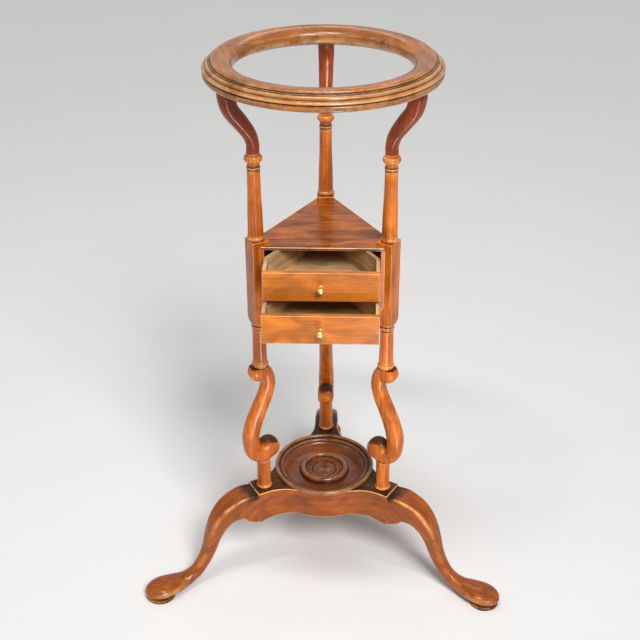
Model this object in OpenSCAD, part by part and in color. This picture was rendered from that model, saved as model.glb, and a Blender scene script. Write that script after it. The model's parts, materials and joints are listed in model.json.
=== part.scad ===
// Three-legged basin stand: a moulded ring on three turned posts, a triangular
// case with two drawers, scrolled supports and a tripod base with a turned dish.
// Millimetres, +Z up, drawers open towards -Y.

/* [Basin ring] */
// Outside radius of the ring
ring_r = 160; // [156:1:165]
// Width of the ring from its rim to the hole that takes the basin
ring_w = 40; // [37:0.5:45]
// Height of the ring
ring_h = 25; // [23:0.5:28]
// How far inside the rim the arms meet the ring
arm_inset = 19.6; // [18:0.2:21]

/* [Arms and posts] */
// Distance of each post from the stand's axis
post_r = 105.8; // [103:0.5:109]
// Height of the curved arms
arm_h = 92; // [84:1:104]
// Radius of an arm at its foot
arm_foot_r = 9; // [7.5:0.5:10]
// Radius of an arm under the ring
arm_head_r = 11.8; // [10:0.2:13]
// Height of the turned column above the block
upper_column_h = 126; // [100:1:150]
// Width of the block across the post
block_w = 26; // [25:0.5:30]
// Depth of the block from the column's centre inwards
block_in = 14.4; // [13:0.2:16]
// Depth of the block from the column's centre outwards
block_out = 11; // [10:0.2:15]
// Height of the block
block_h = 130; // [122:1:140]
// Height of the curved foot of the block
block_foot_h = 18; // [12:1:24]
// Height of the turned column below the block
lower_column_h = 74; // [60:1:90]
// Radius at the foot of the upper column
upper_foot_r = 10.8; // [9.5:0.1:11.5]
// Radius at the head of the upper column
upper_head_r = 8.9; // [8:0.1:9.5]
// Radius of the lower column
lower_column_r = 10.4; // [9.5:0.1:11]
// Radius of the collars on the posts
collar_r = 12.5; // [12:0.1:13.5]

/* [Scrolls and foot columns] */
// Height of each scroll
scroll_h = 167; // [150:1:190]
// Half thickness of the scroll's stem
scroll_stem = 9.8; // [8.5:0.1:11]
// Half thickness of the scroll's lower curl
scroll_curl = 12; // [11:0.1:12.8]
// Radius of the roll at the scroll's head
roll_r = 14.2; // [12.5:0.1:15]
// Width of that roll
roll_w = 23; // [17:0.5:25]
// Height of the short column under each scroll
foot_column_h = 52; // [36:1:64]
// Radius of that column
foot_column_r = 10.6; // [9.5:0.1:11.5]

/* [Tripod base] */
// Height of the platform's top above the floor
platform_z = 147; // [138:1:160]
// Depth of the platform at its three ends
platform_d = 55; // [48:1:60]
// Distance of the platform's ends from the axis
platform_reach = 124; // [121:1:130]
// Width of the platform's arms
platform_arm_w = 38; // [32:1:44]
// Radius of the hollow corners beside the arms
platform_fillet = 60; // [40:1:72]
// Rise of the arches cut under the platform's sides
arch_rise = 12; // [6:1:20]
// Distance of each foot's centre from the axis
foot_r = 288; // [270:1:310]
// Radius of the round pad under each foot
pad_r = 22.2; // [19:0.2:25]
// Thickness of that pad
pad_h = 5; // [3:0.5:7]
// Radius of the ankle
ankle_r = 10.5; // [9:0.1:13]
// Half thickness of the leg below the knee
knee_half_t = 16.6; // [14:0.2:19]
// Half width of the foot
foot_half_w = 23; // [19:0.5:25]
// Half thickness of the foot
foot_half_t = 9.4; // [8:0.2:11]

/* [Dish] */
// Outside radius of the dish's rim
dish_r = 77.8; // [75:0.2:80]
// Height of the rim above the platform
dish_rim_h = 6; // [4:0.5:9]
// Radius of the raised ring in the dish
boss_r = 33.5; // [26:0.5:38]
// Depth to which the dish is let into the platform
dish_sink = 14; // [12:0.5:18]

/* [Case] */
// Distance of the case's sides from the axis
case_r = 64; // [62:0.5:65]
// Width between the cheeks
opening_w = 160; // [156:1:162]
// Height of each drawer opening
opening_h = 43; // [36:0.5:48]
// Drop from the block's top to the shelf
shelf_drop = 7; // [5:0.5:12]
// Thickness of the shelf
shelf_t = 4; // [3:0.5:6]
// Thickness of the case's bottom board
case_bottom_t = 4; // [3:0.5:6]
// Thickness of the board between the drawers
divider_t = 3; // [2.5:0.5:5]
// Thickness of the two cheeks in front
cheek_t = 6; // [5:0.5:7]
// Thickness of the two side panels
panel_t = 4; // [3:0.5:5]
// Depth of the housings and grooves that hold the boards
groove_d = 1.5; // [1:0.25:2]
// Depth of the housings cut into the blocks
housing_d = 3; // [2:0.5:4]
// Drop of the boards' tongues in those housings below the boards' tops
shoulder = 0.8; // [0.5:0.1:1.5]

/* [Drawers] */
// How far the upper drawer stands open
upper_open = 66; // [40:1:76]
// How far the lower drawer stands open
lower_open = 100; // [70:1:106]
// Thickness of a drawer's front
front_t = 8; // [7:0.5:10]
// Thickness of a drawer's sides
side_t = 5; // [4:0.5:6]
// Thickness of a drawer's bottom
drawer_bottom_t = 3; // [2.5:0.5:4]
// Height of the bottom above the drawer's lower edge
bottom_lift = 2.5; // [2:0.5:4]
// Radius of a knob's ball
knob_r = 4.75; // [3.5:0.25:6]
// Radius of the bead at the root of a knob
rose_r = 3.6; // [3:0.1:5]
// Length of a knob's neck
knob_neck = 3.6; // [3:0.2:7]
// Radius of the screw behind a knob
knob_screw_r = 1.5; // [1.2:0.1:2]

/* [Fits] */
// Play at each side of a drawer
side_play = 1.8; // [1:0.1:2.5]
// Play under a drawer
under_play = 0.3; // [0.2:0.05:0.5]
// Play over a drawer
over_play = 0.7; // [0.4:0.1:1.5]
// Play between a drawer's slanting side and the panel
flank_play = 1.5; // [1:0.1:2]
// Space behind a closed drawer
back_play = 1.4; // [0.8:0.1:3]
// Radius of the round tenons
tenon_r = 5; // [4:0.5:5.5]
// Length of the round tenons
tenon_l = 12; // [8:1:14]
// Space beyond a tenon's end
tenon_gap = 1; // [0.5:0.5:2]

/* [Hidden] */

$fn = 72;
eps = 0.01;
cut = 1;
left = 210;
right = 330;
back = 90;

// Levels, from the floor up
z_platform_low = platform_z - platform_d;
z_dish = platform_z - dish_sink;
z_scroll = platform_z + foot_column_h;
z_post = z_scroll + scroll_h;
z_block = z_post + lower_column_h;
z_block_top = z_block + block_h;
z_arm = z_block_top + upper_column_h;
z_ring = z_arm + arm_h;
z_top = z_ring + ring_h;
z_shelf_top = z_block_top - shelf_drop;
z_shelf = z_shelf_top - shelf_t;
z_divider = z_shelf - opening_h - divider_t;
z_case = z_divider - opening_h - case_bottom_t;
z_floor_low = z_case + case_bottom_t;
z_floor_up = z_divider + divider_t;

// Base, case and drawer outlines
hole_r = ring_r - ring_w;
arm_seat_r = ring_r - arm_inset;
platform_mid_r = dish_r - 1.8;
dish_seat_r = dish_r - 4;
leg_tail_h = platform_d - 17;
curl_r = 17;
curl_mid = post_r + 1.8;
z_curl = z_scroll + 27;
volute_x = curl_mid - 10;
volute_z = z_curl - 7.4;
volute_r = scroll_curl + 5.4;
block_half = block_w / 2;
cheek_x = opening_w / 2;
panel_in = case_r - panel_t;
y_front = -case_r;
y_back_block = post_r - block_in;
drawer_w = cheek_x - side_play;
drawer_d = panel_in - flank_play;
drawer_y = y_back_block - back_play;
drawer_h = opening_h - under_play - over_play;
z_upper = z_floor_up + under_play;
z_lower = z_floor_low + under_play;
back_t = side_t;
lap = 3;
tail_l = front_t - lap;

// Ends of the stand, front and back, about its own axis
foot_toe = 24;
leg_root = 10;
toe_r = foot_r + foot_toe;
rose_h = 2.6;
ball_sink = 0.6;
screw_end = 4;
knob_l = rose_h + knob_neck + 2 * knob_r - ball_sink;
y_knob_tip = y_front - lower_open - knob_l;
// The row's origin is midway between those ends
axis_y = -(toe_r + y_knob_tip) / 2;

wood = [0.42, 0.17, 0.07];
dark_wood = [0.30, 0.13, 0.07];
front_wood = [0.50, 0.24, 0.10];
raw_wood = [0.52, 0.42, 0.30];
brass = [0.80, 0.62, 0.25];

function lerp(a, b, t) = a + (b - a) * t;

// Points on an arc from a0 to a1, half axes rx and ry
function arc(cx, cy, rx, ry, a0, a1, n = 8) =
    [for (i = [0:n]) let (a = lerp(a0, a1, i / n))
        [cx + rx * cos(a), cy + ry * sin(a)]];

// A moulded bead on a turning: outside radius r, bulge b, from z0 up by h
function bead(r, b, z0, h, n = 8) = arc(r - b, z0 + h / 2, b, h / 2, -90, 90, n);

// A smooth curve through stations, with its value at segment k, share t
function smooth(p0, p1, p2, p3, t) =
    0.5 * (2 * p1 + (p2 - p0) * t + (2 * p0 - 5 * p1 + 4 * p2 - p3) * t * t
        + (3 * p1 - p0 - 3 * p2 + p3) * t * t * t);
function slope(p0, p1, p2, p3, t) =
    0.5 * ((p2 - p0) + 2 * (2 * p0 - 5 * p1 + 4 * p2 - p3) * t
        + 3 * (3 * p1 - p0 - 3 * p2 + p3) * t * t);
function before(s, k) = k > 0 ? s[k - 1] : 2 * s[0] - s[1];
function after(s, k) = k < len(s) - 1 ? s[k + 1] : 2 * s[k] - s[k - 1];
function beyond(s, k) = after(s, min(k + 1, len(s) - 1));
function along(s, k, t) = smooth(before(s, k), s[k], after(s, k), beyond(s, k), t);
function heading(s, k, t) = slope(before(s, k), s[k], after(s, k), beyond(s, k), t);

function signed_pow(v, e) = sign(v) * pow(abs(v), e);

// One section of a swept member. A station is radius, height, half thickness
// in the radial plane, half width across it, and squareness (2 is round).
function section(s, h, sides) =
    let (l = norm([h[0], h[1]]), nx = -h[1] / l, nz = h[0] / l, e = 2 / s[4])
    [for (i = [0:sides - 1]) let (a = 360 * (i + 0.5) / sides,
        u = s[2] * signed_pow(cos(a), e), v = s[3] * signed_pow(sin(a), e))
        [s[0] + nx * u, v, s[1] + nz * u]];

// A solid swept through stations, with smooth sections in between
module swept(stations, steps, sides) {
    spans = len(stations) - 1;
    rings = concat(
        [for (k = [0:spans - 1]) for (j = [0:steps - 1])
            section(along(stations, k, j / steps), heading(stations, k, j / steps), sides)],
        [section(stations[spans], stations[spans] - stations[spans - 1], sides)]);
    n = len(rings);
    points = [for (r = rings) for (p = r) p];
    sides_up = [for (k = [0:n - 2]) for (i = [0:sides - 1])
        let (a = k * sides + i, b = k * sides + (i + 1) % sides)
        each [[a, b, b + sides], [a, b + sides, a + sides]]];
    polyhedron(points, concat([[for (i = [sides - 1:-1:0]) i]], sides_up,
        [[for (i = [0:sides - 1]) (n - 1) * sides + i]]), convexity = 8);
}

// Puts what is drawn with +X outwards at one of the three posts
module at(angle) {
    rotate([0, 0, angle]) children();
}

// The stand's own axis stands at x = 0, y = axis_y in the row's frame
module placed(shade) {
    color(shade) translate([0, axis_y, 0]) children();
}

// A round tenon that leaves a shoulder at height z, upwards or downwards
module tenon(r, z, way) {
    root = 2;
    translate([r, 0, way > 0 ? z - root : z - tenon_l]) cylinder(r = tenon_r, h = tenon_l + root);
}

// The hole for such a tenon
module socket(r, z, way) {
    translate([r, 0, way > 0 ? z - cut : z - tenon_l - tenon_gap])
        cylinder(r = tenon_r, h = tenon_l + tenon_gap + cut);
}

// Basin ring

module ring_section() {
    low = z_ring;
    crest = z_top;
    inner_h = 14.5;
    crest_w = 22;
    step_r = ring_r - 12.4;
    reed_r = ring_r - 5;
    polygon(concat(
        [[ring_r - 5, low], [hole_r + 8, low], [hole_r, low + 5.5], [hole_r, low + inner_h]],
        arc(hole_r + crest_w, low + inner_h, crest_w, crest - low - inner_h, 180, 90, 10),
        arc(hole_r + crest_w, crest - 3.4, step_r - hole_r - crest_w, 3.4, 78, 12, 6),
        [[step_r, low + 20.4], [step_r + 2.2, low + 20.2], [step_r + 2.8, low + 19]],
        arc(step_r + 3.6, low + 14.2, reed_r - step_r - 3.6, 4.8, 80, 8, 5),
        [[reed_r + 0.2, low + 14]],
        arc(reed_r, low + 10.8, ring_r - reed_r, 3.4, 85, 0, 5),
        [[ring_r - 1.6, low + 9.8]],
        arc(ring_r - 4, low + 4.8, 3.4, 4.5, 70, -60, 6)));
}

module basin_ring() {
    placed(wood) difference() {
        rotate_extrude($fn = 180) ring_section();
        for (a = [left, right, back])
            at(a) socket(arm_seat_r, z_ring, 1);
    }
}

// Arms

function arm_stations() = [
    [post_r, z_arm, arm_foot_r, arm_foot_r, 2],
    [post_r, z_arm + 13, arm_foot_r, arm_foot_r, 2],
    [lerp(post_r, arm_seat_r, 0.14), z_arm + 28, arm_foot_r + 0.8, arm_foot_r + 0.4, 2.1],
    [lerp(post_r, arm_seat_r, 0.49), z_arm + arm_h / 2, arm_foot_r + 2.1, arm_foot_r + 1.2, 2.2],
    [lerp(post_r, arm_seat_r, 0.86), z_ring - 28, arm_head_r - 0.3, arm_head_r - 1, 2.3],
    [arm_seat_r, z_ring - 11, arm_head_r - 0.1, arm_head_r - 0.2, 2.4],
    [arm_seat_r, z_ring, arm_head_r, arm_head_r, 2.4]];

module arm(angle) {
    placed(wood) at(angle) {
        swept(arm_stations(), 3, 20);
        tenon(arm_seat_r, z_ring, 1);
        tenon(post_r, z_arm, -1);
    }
}

// Posts

function upper_turning() = concat(
    [[0, z_block_top - 4], [upper_foot_r, z_block_top - 4], [upper_foot_r, z_block_top]],
    bead(collar_r - 0.4, 3.4, z_block_top, 7),
    [[upper_foot_r + 0.4, z_block_top + 7], [upper_foot_r + 0.2, z_block_top + 9],
        [upper_foot_r, z_block_top + 12], [upper_foot_r - 0.5, z_block_top + 40],
        [upper_head_r + 0.3, z_arm - 56], [upper_head_r, z_arm - 22]],
    bead(upper_head_r + 0.6, 0.9, z_arm - 21.4, 3, 4),
    [[upper_head_r - 0.4, z_arm - 17.6], [upper_head_r - 0.5, z_arm - 14.6],
        [upper_head_r, z_arm - 12.4]],
    bead(collar_r, 4.2, z_arm - 12, 10),
    [[upper_head_r + 0.5, z_arm - 1.6], [upper_head_r + 0.3, z_arm], [0, z_arm]]);

function lower_turning() = concat(
    [[0, z_post], [lower_column_r - 0.6, z_post]],
    bead(collar_r - 0.2, 3.2, z_post, 8),
    [[lower_column_r + 0.3, z_post + 8.4], [lower_column_r + 0.1, z_post + 11],
        [lower_column_r, z_post + 17], [lower_column_r - 0.7, z_post + 50],
        [lower_column_r - 0.9, z_block - 11]],
    bead(lower_column_r + 0.4, 1.8, z_block - 9.6, 6),
    [[lower_column_r - 0.4, z_block - 3], [lower_column_r - 0.2, z_block],
        [lower_column_r - 0.2, z_block + 4], [0, z_block + 4]]);

// The block's lower end is rounded on the lathe into the column
function block_turning() =
    let (corner = norm([block_in, block_half]) + 0.5)
    concat(
        [[0, z_block]],
        [for (i = [0:8]) let (a = i * 11.25)
            [lerp(lower_column_r, corner, sin(a)), z_block + block_foot_h * (1 - cos(a))]],
        [[corner, z_block_top], [0, z_block_top]]);

module block() {
    intersection() {
        translate([-block_in, -block_half, z_block]) cube([block_in + block_out, block_w, block_h]);
        rotate_extrude() polygon(block_turning());
    }
}

module post(angle) {
    placed(wood) difference() {
        at(angle) difference() {
            translate([post_r, 0, 0]) {
                rotate_extrude() polygon(upper_turning());
                rotate_extrude() polygon(lower_turning());
                block();
            }
            socket(post_r, z_arm, -1);
            socket(post_r, z_post, 1);
            // Housings for the tongues of the shelf and the case's bottom
            for (z = [[z_shelf, shelf_t], [z_case, case_bottom_t]])
                translate([post_r - block_in - cut, -block_half - cut, z[0]])
                    cube([housing_d + cut, block_w + 2 * cut, z[1] - shoulder]);
        }
        // The front blocks are cut back for the cheeks
        if (angle != back)
            translate([-cheek_x - cheek_t, -post_r, z_floor_low])
                cube([opening_w + 2 * cheek_t, post_r, z_shelf - z_floor_low]);
    }
}

// Scrolls

function scroll_stations() = concat([
    [post_r - 2.4, z_post - 5, scroll_stem + 0.6, scroll_stem - 0.4, 2.4],
    [post_r - 9.4, z_post - 17, scroll_stem + 0.7, scroll_stem, 2.5],
    [post_r - 11.3, z_post - 33, scroll_stem + 0.8, scroll_stem + 0.2, 2.6],
    [post_r - 6, z_post - 52, scroll_stem + 1.3, scroll_stem + 0.6, 2.6],
    [post_r + 3.4, z_post - 72, scroll_stem + 1.7, scroll_stem + 1, 2.6],
    [post_r + 13.7, z_curl + 43, scroll_stem + 2.4, scroll_stem + 1.4, 2.6],
    [curl_mid + curl_r + 0.6, z_curl + 21, scroll_curl + 0.3, scroll_curl - 0.2, 2.6]],
    [for (a = [0, 34, 68, 102, 136])
        [curl_mid + curl_r * cos(a), z_curl - curl_r * sin(a), scroll_curl, scroll_curl + 0.4, 2.6]]);

// A roll across the scroll, with domed ends
module roll(x, z, r, half) {
    bulge = 2 / 3;
    translate([x, 0, z]) rotate([90, 0, 0]) rotate_extrude()
        polygon([for (a = [-90:15:90])
            [r * pow(cos(a), bulge), half * signed_pow(sin(a), bulge)]]);
}

module scroll(angle) {
    reach = 40;
    placed(wood) at(angle) {
        difference() {
            union() {
                swept(scroll_stations(), 3, 18);
                roll(post_r + 4.6, z_post - 9, roll_r, roll_w / 2);
                roll(volute_x, volute_z, volute_r, scroll_curl + 1.2);
            }
            // Flat seats under the post and on the short column
            translate([post_r - reach, -reach, z_post]) cube(2 * reach);
            translate([post_r - reach, -reach, z_scroll - 2 * reach]) cube(2 * reach);
        }
        tenon(post_r, z_post, 1);
        tenon(post_r, z_scroll, -1);
    }
}

// Short columns between the scrolls and the platform

function foot_turning() = concat(
    [[0, platform_z], [foot_column_r - 0.4, platform_z]],
    bead(collar_r - 0.3, 2.6, platform_z, 6),
    [[foot_column_r + 0.6, platform_z + 6.2], [foot_column_r + 0.4, platform_z + 8],
        [foot_column_r, platform_z + 11], [foot_column_r - 0.3, z_scroll - 14],
        [foot_column_r, z_scroll], [0, z_scroll]]);

module foot_column(angle) {
    placed(wood) at(angle) {
        difference() {
            translate([post_r, 0, 0]) rotate_extrude() polygon(foot_turning());
            socket(post_r, z_scroll, -1);
        }
        tenon(post_r, platform_z, -1);
    }
}

// Platform

// A dovetail in plan, narrow at the joint's face and wide inside
module leg_tail(below) {
    neck = 6;
    spread = 9;
    depth = 10;
    root = 3;
    lip = 0.5;
    translate([platform_reach, 0, z_platform_low - below])
        linear_extrude(height = leg_tail_h + below)
            polygon([[root, neck], [-lip, neck], [-depth, spread],
                [-depth, -spread], [-lip, -neck], [root, -neck]]);
}

// One arm of the platform, with a wide hollow at each side of it
module platform_arm() {
    half = platform_arm_w / 2;
    reach = platform_mid_r - 0.3 + platform_fillet;
    hollow_y = half + platform_fillet;
    hollow_x = sqrt(pow(reach, 2) - pow(hollow_y, 2));
    translate([0, -half, z_platform_low]) cube([platform_reach, platform_arm_w, platform_d]);
    for (s = [-1, 1])
        difference() {
            translate([0, 0, z_platform_low]) linear_extrude(height = platform_d)
                polygon([[0, 0], [hollow_x, 0], [hollow_x, s * hollow_y]]);
            translate([hollow_x, s * hollow_y, z_platform_low - cut])
                cylinder(r = platform_fillet, h = platform_d + 2 * cut);
        }
}

module platform() {
    // Half the width of an arch, which stops a little short of the arm's corner
    land = 2;
    half_arch = platform_reach * sin(60) - platform_arm_w / 2 * cos(60) - land;
    arch_r = (pow(half_arch, 2) + pow(arch_rise, 2)) / (2 * arch_rise);
    placed(dark_wood) difference() {
        union() {
            translate([0, 0, z_platform_low]) cylinder(r = platform_mid_r, h = platform_d);
            for (a = [left, right, back]) at(a) platform_arm();
        }
        for (a = [left, right, back]) {
            at(a + 60) translate([0, 0, z_platform_low + arch_rise - arch_r])
                rotate([0, 90, 0]) cylinder(r = arch_r, h = platform_reach, $fn = 180);
            at(a) leg_tail(cut);
            at(a) socket(post_r, platform_z, -1);
        }
        translate([0, 0, z_dish]) cylinder(r = dish_seat_r, h = dish_sink + cut);
    }
}

// Dish

module turned_dish() {
    rim = platform_z + dish_rim_h;
    bowl = z_dish + 5;
    bowl_r = dish_r - 12.8;
    gap_r = boss_r + 5.4;
    under_r = dish_seat_r - 0.3;
    placed(dark_wood) rotate_extrude($fn = 144) polygon(concat(
        [[0, z_dish], [under_r, z_dish], [under_r, platform_z], [dish_r - 0.6, platform_z]],
        arc(dish_r - 3, rim - 3, 3, 3, 0, 170, 8),
        [[dish_r - 6.2, rim - 3.4], [dish_r - 7, rim - 3.4]],
        arc(dish_r - 9.8, rim - 5.6, 2.8, 2.6, 60, 160, 6),
        [[bowl_r, rim - 7]],
        arc(gap_r, bowl + 12, bowl_r - gap_r, 12, 340, 270, 8),
        arc(boss_r, bowl + 4, 4.2, 5, -10, 190, 10),
        arc(boss_r - 10, bowl + 6.5, 6.5, 5, 320, 250, 5),
        arc(0, bowl + 1.5, boss_r - 15, 4.5, 5, 90, 6)));
}

// Legs

// Places along a leg, as shares of its run outwards and of its rise
function leg_out(share) = lerp(platform_reach, foot_r, share);
function leg_up(share) = lerp(pad_h, platform_z, share);

function leg_stations() =
    let (half = platform_arm_w / 2, mid = platform_z - platform_d / 2,
        foot_z = pad_h + foot_half_t, toe = foot_r + foot_toe) [
    [platform_reach - leg_root, mid - 1.6, platform_d / 2 + 0.1, half, 12],
    [platform_reach + 5, mid + 1.2, platform_d / 2 - 1.3, half, 11],
    [platform_reach + 22, mid + 6.8, platform_d / 2 - 7.1, half, 10],
    [leg_out(0.27), leg_up(0.82), knee_half_t, half - 1, 6],
    [leg_out(0.37), leg_up(0.711), lerp(ankle_r, knee_half_t, 0.64), half - 3.4, 4],
    [leg_out(0.44), leg_up(0.556), lerp(ankle_r, knee_half_t, 0.25), ankle_r + 2.6, 3.2],
    [leg_out(0.49), leg_up(0.387), ankle_r + 0.2, ankle_r + 0.6, 2.7],
    [leg_out(0.555), leg_up(0.246), ankle_r - 0.4, ankle_r - 0.2, 2.4],
    [leg_out(0.64), leg_up(0.134), ankle_r - 0.6, ankle_r, 2.3],
    [leg_out(0.75), foot_z + 1.2, foot_half_t + 0.2, foot_half_w * 0.61, 2.2],
    [leg_out(0.86), foot_z - 0.4, foot_half_t, foot_half_w * 0.87, 2.2],
    [foot_r - 4, foot_z - 0.6, foot_half_t, foot_half_w, 2.2],
    [toe - 13, foot_z - 1.4, foot_half_t - 1.2, foot_half_w * 0.83, 2.2],
    [toe - 4, foot_z - 2.8, foot_half_t * 0.6, foot_half_w * 0.52, 2.2],
    [toe, foot_z - 2.8, foot_half_t * 0.19, foot_half_w * 0.17, 2]];

module leg(angle) {
    placed(dark_wood) at(angle) {
        difference() {
            union() {
                swept(leg_stations(), 2, 20);
                translate([foot_r, 0, 0]) cylinder(r = pad_r, h = pad_h + 3);
            }
            // Cut flat on the floor and where it meets the platform
            translate([platform_reach, -2 * pad_r, -pad_r]) cube([foot_r, 4 * pad_r, pad_r]);
            translate([0, -platform_arm_w, 0])
                cube([platform_reach, 2 * platform_arm_w, 2 * platform_z]);
        }
        leg_tail(0);
    }
}

// Case

// An equilateral triangle in plan with its sides at distance r from the axis
module triangle(r) {
    polygon([for (a = [left, right, back]) 2 * r * [cos(a), sin(a)]]);
}

// A board of the case, notched round the three blocks, with tongues let into them
module case_board(z, t) {
    difference() {
        translate([0, 0, z]) linear_extrude(height = t) triangle(case_r);
        for (a = [left, right, back])
            at(a) {
                translate([post_r - block_in + housing_d, -block_half, z - cut])
                    cube([case_r, block_w, t + 2 * cut]);
                translate([post_r - block_in, -block_half, z + t - shoulder])
                    cube([case_r, block_w, shoulder + cut]);
            }
    }
}

module shelf_top() {
    placed(wood) case_board(z_shelf, shelf_t);
}

module case_bottom() {
    placed(wood) case_board(z_case, case_bottom_t);
}

// The space inside the cheeks and panels, grown by g
module case_inside(g, z, t) {
    intersection() {
        translate([0, 0, z]) linear_extrude(height = t) triangle(panel_in + g);
        translate([-cheek_x - g, y_front, z - cut])
            cube([opening_w + 2 * g, y_back_block - y_front, t + 2 * cut]);
    }
}

module drawer_divider() {
    placed(wood) case_inside(groove_d, z_divider, divider_t);
}

module cheek(s) {
    far = cheek_x + cheek_t;
    placed(wood) difference() {
        slab([[s * cheek_x, y_front], [s * far, y_front], [s * far, corner_side(far, panel_in)[1]],
            [s * cheek_x, corner_side(cheek_x, panel_in)[1]]], z_floor_low, z_shelf - z_floor_low);
        case_inside(groove_d, z_divider, divider_t);
    }
}

module panel(s) {
    h = z_shelf - z_floor_low;
    length = 3.4 * case_r;
    placed(wood) difference() {
        at(s > 0 ? 30 : 150) translate([panel_in, -length / 2, z_floor_low]) cube([panel_t, length, h]);
        for (a = [s > 0 ? right : left, back])
            at(a) translate([post_r - block_in, -block_half, z_floor_low - cut])
                cube([case_r, block_w, h + 2 * cut]);
        case_inside(groove_d, z_divider, divider_t);
    }
}

// Drawers, drawn closed and then slid forward

// Where a wall at x = w meets a slanting wall at distance d, and where that
// wall meets a back wall at y = b
function corner_side(w, d) = [w, (d - w * cos(30)) / sin(30)];
function corner_back(d, b) = [(d - b * sin(30)) / cos(30), b];

module slab(points, z, t) {
    translate([0, 0, z]) linear_extrude(height = t) polygon(points);
}

// The plan of a drawer between its front's line and its walls
function plan(w, d, b, f) = [[-w, f], [w, f], corner_side(w, d), corner_back(d, b),
    [-corner_back(d, b)[0], b], [-w, corner_side(w, d)[1]]];

// Two dovetails on the front end of a side
module tails(s, z) {
    narrow = 4;
    wide = 5.6;
    root = y_front + front_t + eps;
    tip = y_front + front_t - tail_l;
    heights = [0.27, 0.73] * drawer_h;
    for (h = heights)
        translate([s > 0 ? drawer_w - side_t : -drawer_w, 0, z + h])
            rotate([90, 0, 90]) linear_extrude(height = side_t)
                polygon([[root, -narrow], [root, narrow], [tip, wide], [tip, -wide]]);
}

module bottom_board(z) {
    g = groove_d;
    inner_w = drawer_w - side_t + g;
    inner_d = drawer_d - side_t + g;
    slab(plan(inner_w, inner_d, drawer_y - back_t + g, y_front + front_t - g),
        z + bottom_lift, drawer_bottom_t);
}

module drawer_part(open, shade) {
    placed(shade) translate([0, -open, 0]) children();
}

module front(open, z) {
    drawer_part(open, front_wood) difference() {
        translate([-drawer_w, y_front, z]) cube([2 * drawer_w, front_t, drawer_h]);
        tails(-1, z);
        tails(1, z);
        bottom_board(z);
        translate([0, y_front - cut, z + drawer_h / 2]) rotate([-90, 0, 0])
            cylinder(r = knob_screw_r, h = front_t + 2 * cut, $fn = 32);
    }
}

module side(open, z, s) {
    outer = corner_side(drawer_w, drawer_d);
    inner = corner_side(drawer_w - side_t, drawer_d - side_t);
    drawer_part(open, raw_wood) difference() {
        union() {
            slab([[s * drawer_w, y_front + front_t], [s * drawer_w, outer[1]],
                [s * inner[0], inner[1]], [s * inner[0], y_front + front_t]], z, drawer_h);
            tails(s, z);
        }
        bottom_board(z);
    }
}

module flank(open, z, s) {
    a = corner_side(drawer_w, drawer_d);
    b = corner_back(drawer_d, drawer_y);
    c = corner_back(drawer_d - side_t, drawer_y - back_t);
    d = corner_side(drawer_w - side_t, drawer_d - side_t);
    drawer_part(open, raw_wood) difference() {
        slab([for (p = [a, b, c, d]) [s * p[0], p[1]]], z, drawer_h);
        bottom_board(z);
    }
}

module drawer_back(open, z) {
    b = corner_back(drawer_d, drawer_y);
    c = corner_back(drawer_d - side_t, drawer_y - back_t);
    drawer_part(open, raw_wood) difference() {
        slab([b, [-b[0], b[1]], [-c[0], c[1]], c], z, drawer_h);
        bottom_board(z);
    }
}

module drawer_bottom(open, z) {
    drawer_part(open, raw_wood) bottom_board(z);
}

module knob(open, z) {
    neck_r = 2.3;
    ball = rose_h + knob_neck + knob_r - ball_sink;
    drawer_part(open, brass) translate([0, y_front, z + drawer_h / 2]) rotate([90, 0, 0]) {
        rotate_extrude($fn = 48) polygon(concat(
            [[0, 0], [rose_r - 0.4, 0]],
            arc(rose_r - rose_h / 2, rose_h / 2, rose_h / 2, rose_h / 2, -60, 80, 6),
            [[neck_r, rose_h + 0.4], [neck_r - 0.4, rose_h + knob_neck / 2]],
            arc(0, ball, knob_r, knob_r, -62, 90, 12)));
        translate([0, 0, -front_t - screw_end])
            cylinder(r = knob_screw_r, h = front_t + screw_end + cut, $fn = 32);
    }
}

module knob_nut(open, z) {
    nut_r = 3.4;
    nut_h = 2.4;
    drawer_part(open, brass) translate([0, y_front + front_t, z + drawer_h / 2]) rotate([-90, 0, 0])
        difference() {
            cylinder(r = nut_r, h = nut_h, $fn = 6);
            translate([0, 0, -cut]) cylinder(r = knob_screw_r, h = nut_h + 2 * cut, $fn = 32);
        }
}

basin_ring();
arm(left);  // arm_left
arm(right);  // arm_right
arm(back);  // arm_back
post(left);  // post_left
post(right);  // post_right
post(back);  // post_back
scroll(left);  // scroll_left
scroll(right);  // scroll_right
scroll(back);  // scroll_back
foot_column(left);  // foot_column_left
foot_column(right);  // foot_column_right
foot_column(back);  // foot_column_back
platform();
turned_dish();
leg(left);  // leg_left
leg(right);  // leg_right
leg(back);  // leg_back
shelf_top();
case_bottom();
drawer_divider();
cheek(-1);  // cheek_left
cheek(1);  // cheek_right
panel(-1);  // panel_left
panel(1);  // panel_right
front(upper_open, z_upper);  // upper_front
side(upper_open, z_upper, -1);  // upper_side_left
side(upper_open, z_upper, 1);  // upper_side_right
flank(upper_open, z_upper, -1);  // upper_flank_left
flank(upper_open, z_upper, 1);  // upper_flank_right
drawer_back(upper_open, z_upper);  // upper_back
drawer_bottom(upper_open, z_upper);  // upper_bottom
knob(upper_open, z_upper);  // upper_knob
knob_nut(upper_open, z_upper);  // upper_knob_nut
front(lower_open, z_lower);  // lower_front
side(lower_open, z_lower, -1);  // lower_side_left
side(lower_open, z_lower, 1);  // lower_side_right
flank(lower_open, z_lower, -1);  // lower_flank_left
flank(lower_open, z_lower, 1);  // lower_flank_right
drawer_back(lower_open, z_lower);  // lower_back
drawer_bottom(lower_open, z_lower);  // lower_bottom
knob(lower_open, z_lower);  // lower_knob
knob_nut(lower_open, z_lower);  // lower_knob_nut
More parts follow.
